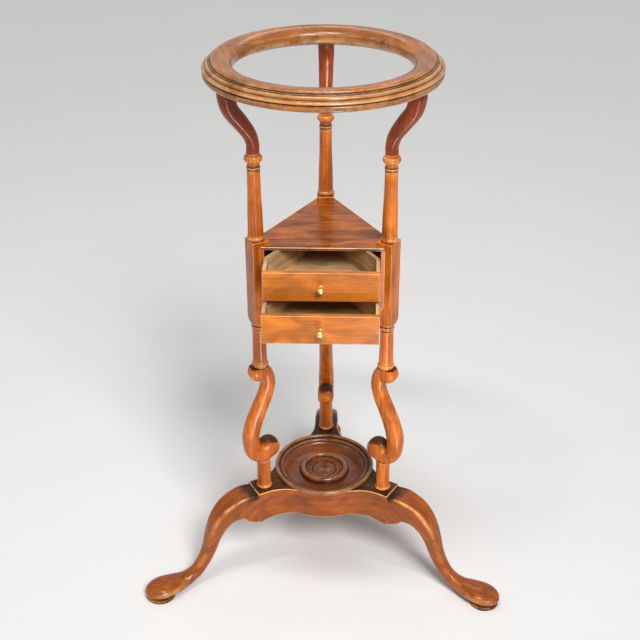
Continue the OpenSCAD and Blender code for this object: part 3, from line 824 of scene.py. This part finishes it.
# Its near-white worn colour paints the highlight along the shelf's rounded front edge, with its wear
SHELF_WOOD = WoodFinish(
    "figured_mahogany", pale=(0.36, 0.095, 0.01), deep=(0.125, 0.026, 0.004), dark=(0.04, 0.01, 0.003),
    worn=(0.95, 0.70, 0.48), dirt=(0.03, 0.012, 0.006), contrast=0.8, mottle=0.9, wear=1.0, coat=0.3,
)
FRONT_WOOD = WoodFinish(
    "drawer_front_mahogany", pale=(0.57, 0.175, 0.016), deep=(0.32, 0.080, 0.008),
    dark=(0.16, 0.040, 0.006), worn=(0.58, 0.36, 0.24), dirt=(0.10, 0.032, 0.010),
    contrast=0.5, mottle=0.55, pores=0.7, wear=0.9, gloss=(0.40, 0.6), specular=0.2,
    coat=0.1, coat_roughness=0.3,
)
DRY_WOOD = WoodFinish(
    "dry_drawer_wood", pale=(0.60, 0.38, 0.185), deep=(0.36, 0.21, 0.095), dark=(0.16, 0.08, 0.03),
    worn=(0.55, 0.38, 0.25), dirt=(0.09, 0.05, 0.025), contrast=0.7, mottle=0.45, pores=0.35,
    wear=0.8, gloss=(0.62, 0.82), coat=0.0, relief=0.00008,
)
BRASS = BrassFinish()
FINISHES = (POLISHED, ARM_WOOD, RING_WOOD, BASE_WOOD, DISH_WOOD, SHELF_WOOD, FRONT_WOOD, DRY_WOOD, BRASS)
Finish = WoodFinish | BrassFinish


def values(items: object, name: str, width: int = 1, kind: type = float) -> np.ndarray:
    """One property of a mesh's elements, with a row for each where it has a width."""
    read = np.empty(len(items) * width, kind)
    items.foreach_get(name, read)
    return read.reshape(-1, width) if width > 1 else read


class Maker:
    """Turns finished shapes into pieces of the stand.

    PIECE_STEP and JOINT_STEP move the wood's own coordinates from one piece, or one
    glued part of a ring, to the next. FIRST_JOINT is where the joints start, in turns.
    """

    PIECE_STEP = (0.37, 0.73, 0.19)
    JOINT_STEP = (0.11, 0.23, 0.31)
    FIRST_JOINT = 1.04

    def __init__(self, frame: dict) -> None:
        """Finds the stand's axis in the loaded frame, from the ring's box, and mixes the finishes."""
        self.nodes: dict[str, bpy.types.Object] = frame["nodes"]
        low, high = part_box("basin_ring")
        self.axis = Vector(((low.x + high.x) / 2, (low.y + high.y) / 2, 0.0))
        self.materials = {finish.name: finish.material() for finish in FINISHES}
        self.count = 0

    def body_of(self, node: str) -> str:
        """The body that a node rides on."""
        return self.nodes[node]["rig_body"]

    def copied(self, node: str) -> Shape:
        """A node's solid as a shape in millimetres about the axis, its flat faces made whole."""
        shape = Shape(self.nodes[node].data)
        shape.moved(Matrix.Scale(1 / MM, 4) @ Matrix.Translation(-self.axis))
        bmesh.ops.remove_doubles(shape.bm, verts=shape.bm.verts, dist=SAME_POINT)
        bmesh.ops.dissolve_limit(
            shape.bm, angle_limit=math.radians(SAME_PLANE), use_dissolve_boundaries=False,
            verts=shape.bm.verts, edges=shape.bm.edges,
        )
        return shape

    def board(self, name: str, node: str, slot: str, finish: WoodFinish, fibres: Sequence[float],
              ease: float) -> None:
        """Copies a board's node, rounds its long edges and dresses it.

        Args:
            name, node, finish, fibres: As for any dressed piece.
            slot: Not used.
            ease: How far each face is cut back at an edge.
        """
        shape = self.copied(node).eased(ease, lambda edge: edge.calc_length() > LONG_EDGE)
        self.dressed(name, shape, node, finish, fibres, flats=True)

    def dressed(self, name: str, shape: Shape, node: str, finish: Finish,
                fibres: Sequence[float] = Fibres.UPRIGHT.value, corner: Corner | None = None,
                joints: int = 0, flats: bool = False) -> None:
        """Makes a shape a piece that stands for a node.

        Args:
            name: The piece's name.
            shape: The mesh in the making.
            node: The node that it stands for.
            finish: Its finish.
            fibres: Direction of the wood's fibres in the row's frame.
            corner: The corner that the shape is turned to, whose word ends both names.
            joints: Number of glued joints round the axis, each with its own fibres.
            flats: True if broad flat faces keep their shading flat.
        """
        turn = Matrix.Rotation(corner.angle, 4, "Z") if corner else Matrix.Identity(4)
        if corner:
            name, node = f"{name}_{corner.word}", f"{node}_{corner.word}"
        shape.moved(Matrix.Translation(self.axis) @ Matrix.Scale(MM, 4) @ turn)
        piece = shape.shown(name)
        mesh = piece.data
        mesh.shade_smooth()
        mesh.set_sharp_from_angle(angle=math.radians(SHADING_BREAK))
        self.count += 1
        self._lay_grain(mesh, Vector(fibres), joints)
        mesh.materials.append(self.materials[finish.name])
        if flats:
            weighted = piece.modifiers.new("even_shading", "WEIGHTED_NORMAL")
            weighted.keep_sharp, weighted.weight = True, 100
        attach(piece, self.body_of(node))
        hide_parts(node)
        LOG.info("%s: %d faces, stands for %s", name, len(mesh.polygons), node)

    def _lay_grain(self, mesh: bpy.types.Mesh, fibres: Vector, joints: int) -> None:
        """Writes the wood's own coordinates to each face corner.

        Args:
            mesh: The finished mesh.
            fibres: Direction of the fibres.
            joints: Number of glued joints round the axis, or 0.
        """
        corners = values(mesh.loops, "vertex_index", kind=int)
        place = values(mesh.vertices, "co", 3)[corners] - np.array(self.axis)
        start = np.array(self.PIECE_STEP) * self.count
        if joints:
            x, y, _ = (values(mesh.polygons, "center", 3) - np.array(self.axis)).T
            turn = np.arctan2(y, x) / (2 * math.pi) + self.FIRST_JOINT
            part = np.repeat(np.floor(turn * joints), values(mesh.polygons, "loop_total", kind=int))
            angle = (part + 0.5 - self.FIRST_JOINT * joints) / joints * 2 * math.pi
            out, side = np.cos(angle), np.sin(angle)
            x, y, z = place.T
            grain = np.stack([x * out + y * side, z, y * out - x * side], 1)
            grain += start + part[:, None] * np.array(self.JOINT_STEP)
        else:
            turn = np.array(fibres.normalized().rotation_difference(Vector((0, 0, 1))).to_matrix())
            grain = place @ turn.T + start
        layer = mesh.attributes.new("grain", "FLOAT_VECTOR", "CORNER")
        layer.data.foreach_set("vector", grain.astype(np.float32).ravel())


# The stand


@dataclass
class Levels:
    """Heights and distances that several parts of the stand share."""

    post_r: float = 105.8
    z_scroll: float = 199.0
    z_post: float = 366.0
    z_block: float = 440.0
    z_block_top: float = 570.0
    z_arm: float = 696.0
    z_ring: float = 788.0
    z_top: float = 813.0
    platform_z: float = 147.0
    collar_r: float = 12.5


@dataclass
class BasinRing(Levels):
    """The moulded ring that holds the basin."""

    ring_r: float = 160.0
    hole_r: float = 120.0
    crest_w: float = 22.0
    inner_h: float = 14.5
    joints: int = 6
    sides: int = 192
    quirk_ease: float = 0.35

    def profile(self) -> list[Point]:
        """The ring's moulded section, from the rim's foot round the hole and back."""
        low, crest, rim = self.z_ring, self.z_top, self.ring_r
        step, reed, crest_r = rim - 12.4, rim - 5, self.hole_r + self.crest_w
        return [
            (rim - 5, low), (self.hole_r + 8, low), (self.hole_r, low + 5.5),
            (self.hole_r, low + self.inner_h),
            *arc(crest_r, low + self.inner_h, self.crest_w, crest - low - self.inner_h, 180, 90, 24),
            *arc(crest_r, crest - 3.4, step - crest_r, 3.4, 78, 12, 12),
            (step, low + 20.4), (step + 2.2, low + 20.2), (step + 2.8, low + 19),
            *arc(step + 3.6, low + 14.2, reed - step - 3.6, 4.8, 80, 8, 10),
            (reed + 0.2, low + 14),
            *arc(reed, low + 10.8, rim - reed, 3.4, 85, 0, 10),
            (rim - 1.6, low + 9.8),
            *arc(rim - 4, low + 4.8, 3.4, 4.5, 70, -60, 12),
        ]

    def make(self, maker: Maker) -> None:
        """Turns the ring and dresses it."""
        shape = Shape().turned(softened(self.profile(), self.quirk_ease), steps=self.sides).bends_marked()
        maker.dressed("moulded_ring", shape, "basin_ring", RING_WOOD, joints=self.joints)


@dataclass
class Uprights(Levels):
    """Arms, posts and short columns."""

    arm_seat_r: float = 140.4
    arm_foot_r: float = 9.0
    arm_head_r: float = 11.8
    upper_foot_r: float = 10.8
    upper_head_r: float = 8.9
    lower_r: float = 10.4
    foot_column_r: float = 10.6
    edge_ease: float = 0.7
    arm_sides: int = 40
    arm_fibres: Triple = (0.25, 0, 1)

    def arm_stations(self) -> list[Station]:
        """Stations of a curved arm, from the post to the ring."""
        post_r, z_arm, z_ring = self.post_r, self.z_arm, self.z_ring
        foot, head, seat = self.arm_foot_r, self.arm_head_r, self.arm_seat_r
        return [
            (post_r, z_arm, foot, foot, 2),
            (post_r, z_arm + 13, foot, foot, 2),
            (lerp(post_r, seat, 0.14), z_arm + 28, foot + 0.8, foot + 0.4, 2.1),
            (lerp(post_r, seat, 0.49), (z_arm + z_ring) / 2, foot + 2.1, foot + 1.2, 2.2),
            (lerp(post_r, seat, 0.86), z_ring - 28, head - 0.3, head - 1, 2.3),
            (seat, z_ring - 11, head - 0.1, head - 0.2, 2.4),
            (seat, z_ring, head, head, 2.4),
        ]

    def upper_turning(self) -> list[Point]:
        """Profile of the column above the block."""
        top, z_arm = self.z_block_top, self.z_arm
        foot, head, collar = self.upper_foot_r, self.upper_head_r, self.collar_r
        return [
            (0, top), (foot, top), *bead(collar - 0.4, 3.4, top, 7),
            (foot + 0.4, top + 7), (foot + 0.2, top + 9), (foot, top + 12), (foot - 0.5, top + 40),
            (head + 0.3, z_arm - 56), (head, z_arm - 22), *bead(head + 0.6, 0.9, z_arm - 21.4, 3, 8),
            (head - 0.4, z_arm - 17.6), (head - 0.5, z_arm - 14.6), (head, z_arm - 12.4),
            *bead(collar, 4.2, z_arm - 12, 10), (head + 0.5, z_arm - 1.6), (head + 0.3, z_arm),
            (0, z_arm),
        ]

    def lower_turning(self) -> list[Point]:
        """Profile of the column below the block."""
        low, block, r = self.z_post, self.z_block, self.lower_r
        return [
            (0, low), (r - 0.6, low), *bead(self.collar_r - 0.2, 3.2, low, 8),
            (r + 0.3, low + 8.4), (r + 0.1, low + 11), (r, low + 17), (r - 0.7, low + 50),
            (r - 0.9, block - 11), *bead(r + 0.4, 1.8, block - 9.6, 6, 10),
            (r - 0.4, block - 3), (r - 0.2, block), (0, block),
        ]

    def foot_turning(self) -> list[Point]:
        """Profile of the short column under a scroll."""
        low, top, r = self.platform_z, self.z_scroll, self.foot_column_r
        return [
            (0, low), (r - 0.4, low), *bead(self.collar_r - 0.3, 2.6, low, 6, 12),
            (r + 0.6, low + 6.2), (r + 0.4, low + 8), (r, low + 11), (r - 0.3, top - 14), (r, top),
            (0, top),
        ]

    def block(self, maker: Maker, corner: Corner) -> Shape:
        """A post's square block, cut from the node and turned back to +X."""
        low, top = self.z_block, self.z_block_top
        shape = maker.copied(f"post_{corner.word}").moved(Matrix.Rotation(-corner.angle, 4, "Z"))
        shape.sawn((0, 0, top), (0, 0, 1)).sawn((0, 0, low), (0, 0, -1))
        return shape.eased(self.edge_ease, lambda e: min(v.co.z for v in e.verts) > low + 0.6)

    def make(self, maker: Maker) -> None:
        """Makes and dresses the arms, posts and short columns."""
        slot, out = "mahogany", self.post_r
        for corner in Corner:
            arm = Shape().carved(self.arm_stations(), self.arm_sides)
            lean = corner.turn(self.arm_fibres)
            maker.dressed("curved_arm", arm.bends_marked(), "arm", ARM_WOOD, lean, corner)
            post = self.block(maker, corner)
            for profile in (self.upper_turning(), self.lower_turning()):
                post.turned(densified(softened(profile)), out)
            post.bends_marked()
            maker.dressed("turned_post", post, "post", POLISHED, corner=corner, flats=True)
            foot = Shape().turned(densified(softened(self.foot_turning())), out).bends_marked()
            maker.dressed("short_column", foot, "foot_column", POLISHED, corner=corner)


@dataclass
class Scrolls(Levels):
    """The three S-shaped supports, rolled at the head and in the lower curl."""

    stem: float = 9.8
    curl: float = 12.0
    curl_r: float = 17.0
    curl_out: float = 1.8
    curl_up: float = 27.0
    roll_r: float = 14.2
    roll_w: float = 23.0
    roll_out: float = 4.6
    roll_down: float = 9.0
    volute_in: float = 10.0
    volute_down: float = 7.4
    volute_more: Point = (5.4, 1.2)
    # Darkening at the scroll's top under the collar, and on the volute's upper side: dirt and painted
    # shade
    top_dirt: float = 0.7
    volute_dirt: float = 0.9
    sides: int = 40
    roll_sides: int = 64
    curl_turns: tuple[float, ...] = (0, 34, 68, 102, 136)

    def stations(self) -> list[Station]:
        """Stations of the stem and its lower curl."""
        out, top, stem, curl = self.post_r, self.z_post, self.stem, self.curl
        mid, low = out + self.curl_out, self.z_scroll + self.curl_up
        turns = [math.radians(a) for a in self.curl_turns]
        return [
            (out - 2.4, top - 5, stem + 0.6, stem - 0.4, 2.4),
            (out - 9.4, top - 17, stem + 0.7, stem, 2.5),
            (out - 11.3, top - 33, stem + 0.8, stem + 0.2, 2.6),
            (out - 6, top - 52, stem + 1.3, stem + 0.6, 2.6),
            (out + 3.4, top - 72, stem + 1.7, stem + 1, 2.6),
            (out + 13.7, low + 43, stem + 2.4, stem + 1.4, 2.6),
            (mid + self.curl_r + 0.6, low + 21, curl + 0.3, curl - 0.2, 2.6),
            *[(mid + self.curl_r * math.cos(a), low - self.curl_r * math.sin(a), curl, curl + 0.4, 2.6)
              for a in turns],
        ]

    def roll(self, radius: float, half: float, out: float, up: float) -> Shape:
        """A roll across the scroll, with domed ends.

        Args:
            radius: Radius of the roll.
            half: Half of its width.
            out, up: Distance of its centre from the stand's axis, and its height.

        Returns:
            The roll, with +X outwards.
        """
        turns, fullness = [math.radians(a) for a in range(-90, 91, 5)], 2 / 3
        radii = [radius * abs(math.cos(a)) ** fullness for a in turns]
        profile = [(r, half * signed_power(math.sin(a), fullness)) for r, a in zip(radii, turns)]
        profile[0], profile[-1] = (0.0, -half), (0.0, half)
        shape = Shape().turned(profile, steps=self.roll_sides)
        return shape.moved(Matrix.Translation((out, 0, up)) @ LAID)

    def volute(self) -> Shape:
        """The roll in the lower curl, dark on its upper side with dirt and painted shade."""
        radius, half = [self.curl + more for more in self.volute_more]
        centre = self.z_scroll + self.curl_up - self.volute_down
        shape = self.roll(radius, half, self.post_r + self.curl_out - self.volute_in, centre)

        def dirt(at: Vector) -> float:
            """Dirt and painted shade grow from a third of the way up the roll, and leave its ends clean.
            """
            start, run = centre + 0.3 * radius, 0.55 * radius
            return (at.z - start) / run if abs(at.y) < 0.86 * half else 0

        return shape.soiled(self.volute_dirt, dirt)

    def make(self, maker: Maker) -> None:
        """Carves and dresses the three scrolls."""
        top, low, out = self.z_post, self.z_scroll, self.post_r
        for corner in Corner:
            shape = Shape().carved(self.stations(), self.sides).sawn((0, 0, low), (0, 0, -1))
            head = self.roll(self.roll_r, self.roll_w / 2, out + self.roll_out, top - self.roll_down)
            shape.joined(head).joined(self.volute()).sawn((0, 0, top), (0, 0, 1))
            # A thin dark band at the scroll's top, where it meets the collar: dirt and painted shade at
            # the joint
            shape.soiled(self.top_dirt, lambda at: at.z > top - 1).bends_marked()
            maker.dressed("carved_scroll", shape, "scroll", POLISHED, corner=corner)


@dataclass
class TripodBase(Levels):
    """Platform, dish and legs."""

    platform_reach: float = 124.0
    platform_d: float = 55.0
    arm_w: float = 38.0
    dish_r: float = 77.8
    dish_rim_h: float = 6.0
    dish_sink: float = 14.0
    boss_r: float = 33.5
    foot_r: float = 288.0
    foot_toe: float = 24.0
    pad_r: float = 22.2
    pad_h: float = 5.0
    ankle_r: float = 10.5
    knee_half_t: float = 16.6
    foot_half_w: float = 23.0
    foot_half_t: float = 9.4
    edge_ease: float = 1.1
    dish_sides: int = 144
    leg_sides: int = 44
    leg_fibres: Triple = (0.8, 0, -0.6)
    root_run: float = 34.0
    root_depth: float = 8.0
    # Darkening of the platform's top, of the top of each leg's root, and of the pads
    top_dirt: float = 0.6
    leg_dirt: float = 0.8
    pad_dirt: float = 0.5

    def dish_profile(self) -> list[Point]:
        """Section of the dish from its underside over the rim to its middle."""
        top = self.platform_z
        floor, rim = top - self.dish_sink, top + self.dish_rim_h
        bowl, bowl_r, gap_r, boss = floor + 5, self.dish_r - 12.8, self.boss_r + 5.4, self.boss_r
        under = self.dish_r - 4.3
        return [
            (0, floor), (under, floor), (under, top), (self.dish_r - 0.6, top),
            *arc(self.dish_r - 3, rim - 3, 3, 3, 0, 170, 16),
            (self.dish_r - 6.2, rim - 3.4), (self.dish_r - 7, rim - 3.4),
            *arc(self.dish_r - 9.8, rim - 5.6, 2.8, 2.6, 60, 160, 12),
            (bowl_r, rim - 7), *arc(gap_r, bowl + 12, bowl_r - gap_r, 12, 340, 270, 18),
            *arc(boss, bowl + 4, 4.2, 5, -10, 190, 22), *arc(boss - 10, bowl + 6.5, 6.5, 5, 320, 250, 10),
            *arc(0, bowl + 1.5, boss - 15, 4.5, 5, 90, 16),
        ]

    def out(self, share: float) -> float:
        """Distance from the axis, as a share of the leg's run."""
        return lerp(self.platform_reach, self.foot_r, share)

    def up(self, share: float) -> float:
        """Height, as a share of the leg's rise."""
        return lerp(self.pad_h, self.platform_z, share)

    def leg_stations(self) -> list[Station]:
        """Stations of a leg, from inside the platform to the toe."""
        half, mid, deep = self.arm_w / 2, self.platform_z - self.platform_d / 2, self.platform_d / 2
        foot_z, toe = self.pad_h + self.foot_half_t, self.foot_r + self.foot_toe
        knee, ankle, reach = self.knee_half_t, self.ankle_r, self.platform_reach
        wide, thick = self.foot_half_w, self.foot_half_t
        return [
            (reach - 10, mid - 1.6, deep + 0.1, half, 12), (reach + 5, mid + 1.2, deep - 1.3, half, 11),
            (reach + 22, mid + 6.8, deep - 7.1, half, 10),
            (self.out(0.27), self.up(0.82), knee, half - 1, 6),
            (self.out(0.37), self.up(0.711), lerp(ankle, knee, 0.64), half - 3.4, 4),
            (self.out(0.44), self.up(0.556), lerp(ankle, knee, 0.25), ankle + 2.6, 3.2),
            (self.out(0.49), self.up(0.387), ankle + 0.2, ankle + 0.6, 2.7),
            (self.out(0.555), self.up(0.246), ankle - 0.4, ankle - 0.2, 2.4),
            (self.out(0.64), self.up(0.134), ankle - 0.6, ankle, 2.3),
            (self.out(0.75), foot_z + 1.2, thick + 0.2, wide * 0.61, 2.2),
            (self.out(0.86), foot_z - 0.4, thick, wide * 0.87, 2.2),
            (self.foot_r - 4, foot_z - 0.6, thick, wide, 2.2),
            (toe - 13, foot_z - 1.4, thick - 1.2, wide * 0.83, 2.2),
            (toe - 4, foot_z - 2.8, thick * 0.6, wide * 0.52, 2.2),
            (toe, foot_z - 2.8, thick * 0.19, wide * 0.17, 2),
        ]

    def pad_profile(self) -> list[Point]:
        """Section of the round pad under a foot."""
        r, h = self.pad_r, self.pad_h
        return [
            (0, 0), *arc(r - 1, 1, 1, 1, -90, 0, 6), *arc(r - 1.6, h - 1.6, 1.6, 1.6, 0, 90, 8),
            (r - 5, h + 1), (0, h + 1),
        ]

    def make(self, maker: Maker) -> None:
        """Makes and dresses the platform, the dish and the legs."""
        slot, top = "base_mahogany", self.platform_z
        low = top - self.platform_d

        def outline(edge: Edge) -> bool:
            """True for edges of the platform's outline, above and below."""
            start, end = edge.verts[0].co, edge.verts[1].co
            middle = (start + end) / 2
            outside = math.hypot(middle.x, middle.y) > self.dish_r - 3.5
            return abs(start.z - end.z) < 8 and outside and (middle.z > top - 1 or middle.z < low + 14)

        platform = maker.copied("platform").eased(self.edge_ease, outline)
        # The platform's top is made darker
        platform.soiled(self.top_dirt, lambda at: at.z > top - 0.1)
        across = Fibres.ACROSS.value
        maker.dressed("carved_platform", platform, "platform", BASE_WOOD, across, flats=True)
        dish = Shape().turned(softened(self.dish_profile()), steps=self.dish_sides).bends_marked()
        maker.dressed("turned_bowl", dish, "turned_dish", DISH_WOOD, across)
        run, depth = self.root_run, self.root_depth

        def root(at: Vector) -> float:
            """Darker on top of the leg's root, fading outwards and down."""
            return min(1 - (at.x - self.platform_reach) / run, (at.z - top + 1.5 * depth) / depth)

        for corner in Corner:
            leg = Shape().carved(self.leg_stations(), self.leg_sides)
            leg.sawn((self.platform_reach, 0, 0), (-1, 0, 0)).turned(self.pad_profile(), self.foot_r)
            leg.bends_marked().soiled(self.leg_dirt, root)
            # The pad under each foot is made darker
            leg.soiled(self.pad_dirt, lambda at: at.z < self.pad_h)
            lean = corner.turn(self.leg_fibres)
            maker.dressed("cabriole_leg", leg, "leg", BASE_WOOD, lean, corner)


@dataclass
class Case:
    """Shelf, boards, cheeks and panels of the case."""

    edge_ease: float = 0.6
    boards: tuple[tuple[str, str, WoodFinish, Fibres], ...] = (
        ("figured_shelf", "shelf_top", SHELF_WOOD, Fibres.ACROSS),
        ("bottom_board", "case_bottom", POLISHED, Fibres.ACROSS),
        ("dividing_board", "drawer_divider", DRY_WOOD, Fibres.ACROSS),
        ("cheek_board_left", "cheek_left", POLISHED, Fibres.UPRIGHT),
        ("cheek_board_right", "cheek_right", POLISHED, Fibres.UPRIGHT),
    )
    panel_slope: float = 60.0

    def make(self, maker: Maker) -> None:
        """Eases and dresses each board."""
        for name, node, finish, fibres in self.boards:
            maker.board(name, node, "mahogany", finish, fibres.value, self.edge_ease)
        for side, slope in (("left", self.panel_slope), ("right", -self.panel_slope)):
            names = (f"side_panel_{side}", f"panel_{side}")
            maker.board(*names, "mahogany", POLISHED, along(slope), self.edge_ease)


@dataclass
class Drawer:
    """One drawer: front, sides, flanks, back, bottom, knob and nut."""

    word: str
    edge_ease: float = 0.55
    knob_r: float = 4.75
    rose_r: float = 3.6
    rose_h: float = 2.6
    knob_neck: float = 3.6
    neck_r: float = 2.3
    ball_sink: float = 0.6
    knob_sides: int = 56
    quirk_ease: float = 0.15
    flank_slope: float = 60.0

    def knob_profile(self) -> list[Point]:
        """Section of the knob from the front's face to the end of its ball."""
        rose, h, neck = self.rose_r, self.rose_h, self.knob_neck
        ball = h + neck + self.knob_r - self.ball_sink
        return [
            (0, 0), (rose - 0.4, 0), *arc(rose - h / 2, h / 2, h / 2, h / 2, -60, 80, 12),
            (self.neck_r, h + 0.4), (self.neck_r - 0.4, h + neck / 2),
            *arc(0, ball, self.knob_r, self.knob_r, -62, 90, 26),
        ]

    def knob(self, maker: Maker) -> Shape:
        """The knob, turned upright and laid along -Y at its node's place."""
        low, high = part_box(f"{self.word}_knob")
        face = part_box(f"{self.word}_front")[0].y
        shape = Shape().turned(softened(self.knob_profile(), self.quirk_ease), steps=self.knob_sides)
        place = (Vector(((low.x + high.x) / 2, face, (low.z + high.z) / 2)) - maker.axis) / MM
        return shape.moved(Matrix.Translation(place) @ LAID).bends_marked()

    def make(self, maker: Maker) -> None:
        """Makes and dresses the drawer's pieces."""
        dry, across, inwards = ("drawer_wood", DRY_WOOD), Fibres.ACROSS.value, Fibres.INWARDS.value
        boards = [
            ("front", ("front_mahogany", FRONT_WOOD), across), ("side_left", dry, inwards),
            ("side_right", dry, inwards), ("flank_left", dry, along(self.flank_slope)),
            ("flank_right", dry, along(180 - self.flank_slope)), ("back", dry, across),
            ("bottom", dry, across),
        ]
        for board, wood, fibres in boards:
            names = (f"{self.word}_drawer_{board}", f"{self.word}_{board}")
            maker.board(*names, *wood, fibres, self.edge_ease)
        maker.dressed(f"{self.word}_turned_knob", self.knob(maker), f"{self.word}_knob", BRASS)
        nut = maker.nodes[f"{self.word}_knob_nut"]
        nut.data.materials.clear()
        nut.data.materials.append(maker.materials[BRASS.name])
        LOG.info("%s: kept, with a brass finish", nut.name)


def hung(lamp: bpy.types.Light, place: Triple, aim: Triple) -> None:
    """Hangs a light at a place, points it, and hides it from the camera."""
    holder = bpy.data.objects.new(lamp.name, lamp)
    bpy.context.scene.collection.objects.link(holder)
    holder.location = place
    holder.rotation_euler = (Vector(aim) - Vector(place)).to_track_quat("-Z", "Y").to_euler()
    holder.visible_camera = False


@dataclass(frozen=True)
class Lamp:
    """A soft lamp: place and aim in metres, sides in metres, power in watts."""

    name: str
    place: Triple
    size: Point
    power: float
    aim: Triple = (0.0, -0.05, 0.42)

    def make(self) -> None:
        """Makes the lamp and hangs it."""
        lamp = bpy.data.lights.new(self.name, "AREA")
        lamp.shape, lamp.size, lamp.size_y, lamp.energy = "RECTANGLE", *self.size, self.power
        hung(lamp, self.place, self.aim)


@dataclass
class Studio:
    """Camera, floor and light, in metres."""

    eye: Triple = (0.044014, -1.530409, 1.253287)
    right: Triple = (0.99948, 0.03191, -0.00361)
    up: Triple = (-0.01275, 0.49732, 0.86747)
    lens: float = 64.26
    sensor: float = 36.0
    seen_from: float = 0.02
    seen_to: float = 60.0
    floor_half: float = 14.0
    floor_colour: Colour = (0.74, 0.735, 0.725)
    floor_darker: float = 0.96
    floor_roughness: float = 0.65
    floor_clouds: Cloud = Cloud(3, 3, 0.55)
    sky: Colour = (0.60, 0.60, 0.61)
    fill: float = 0.42
    sun: float = 2.25
    sun_spread: float = 0.36
    sun_from: Triple = (0.62, -1.35, 1.5)
    lamps: tuple[Lamp, ...] = (
        Lamp("front_softbox", (0.28, -1.15, 1.45), (0.2, 0.5), 6.0),
        Lamp("left_softbox", (-1.5, -0.5, 1.2), (0.12, 1.2), 2.5),
        Lamp("top_softbox", (-0.1, -0.45, 2.0), (0.5, 0.1), 12.0),
        Lamp("back_softbox", (0.1, 1.4, 1.9), (0.9, 0.2), 2.5),
        Lamp("floor_strip", (0.19, -1.05, 0.03), (0.12, 1.2), 7.5, aim=(0.19, -1.05, 1.0)),
    )

    def make(self) -> None:
        """Sets up the camera, the floor, the world and the lamps."""
        scene = bpy.context.scene
        scene.view_settings.view_transform = "Standard"
        data = bpy.data.cameras.new("camera")
        data.lens, data.sensor_width, data.sensor_fit = self.lens, self.sensor, "HORIZONTAL"
        data.clip_start, data.clip_end = self.seen_from, self.seen_to
        camera = bpy.data.objects.new("camera", data)
        scene.collection.objects.link(camera)
        scene.camera = camera
        right, up = Vector(self.right).normalized(), Vector(self.up).normalized()
        back = right.cross(up)
        turn = Matrix((right, back.cross(right), back)).transposed().to_4x4()
        camera.matrix_world = Matrix.Translation(Vector(self.eye)) @ turn
        self._floor()
        self._world()
        sun = bpy.data.lights.new("sun", "SUN")
        sun.energy, sun.angle = self.sun, self.sun_spread
        hung(sun, self.sun_from, (0, 0, 0))
        for lamp in self.lamps:
            lamp.make()
        LOG.info("studio: camera, floor, world, sun and %d lamps", len(self.lamps))

    def _floor(self) -> None:
        """A plain pale floor, which is no part of the stand."""
        sheet = Shape()
        bmesh.ops.create_grid(sheet.bm, x_segments=1, y_segments=1, size=self.floor_half)
        floor, paint = sheet.shown("floor"), Surface("pale_floor")
        cloud = self.floor_clouds.laid(paint, paint.place)
        darker = tuple(c * self.floor_darker for c in self.floor_colour)
        colour = paint.mixed(cloud, darker, self.floor_colour)
        made = paint.finished({"Base Color": colour, "Roughness": self.floor_roughness})
        floor.data.materials.append(made)
        from_below = paint.add("NewGeometry").outputs["Backfacing"]
        clear = paint.add("BsdfTransparent").outputs[0]
        seen = paint.add("MixShader", {0: from_below, 1: paint.shader.outputs[0], 2: clear}).outputs[0]
        paint.join(seen, paint.tree.nodes["Material Output"].inputs["Surface"])

    def _world(self) -> None:
        """Soft light from all round, and a pale background."""
        world = bpy.data.worlds.new("studio")
        bpy.context.scene.world = world
        world.use_nodes = True
        graph = Graph(world.node_tree)
        backdrop = world.node_tree.nodes["Background"]
        path = graph.add("LightPath").outputs
        seen = graph.larger(path["Is Camera Ray"], path["Is Glossy Ray"])
        seen = graph.larger(seen, path["Is Transmission Ray"])
        backdrop.inputs["Color"].default_value = (*self.sky, 1.0)
        graph.join(graph.ramp(seen, 0.0, 1.0, (self.fill, 1.0)), backdrop.inputs["Strength"])


def main() -> None:
    """Builds the stand in order."""
    logging.basicConfig(level=logging.INFO, format="%(name)s: %(message)s")
    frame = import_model()
    maker = Maker(frame)
    drawers = (Drawer("upper"), Drawer("lower"))
    for assembly in (BasinRing(), Uprights(), Scrolls(), TripodBase(), Case(), *drawers):
        assembly.make(maker)
    Studio().make()
    LOG.info("pieces: %d", maker.count)


if __name__ == "__main__":
    main()
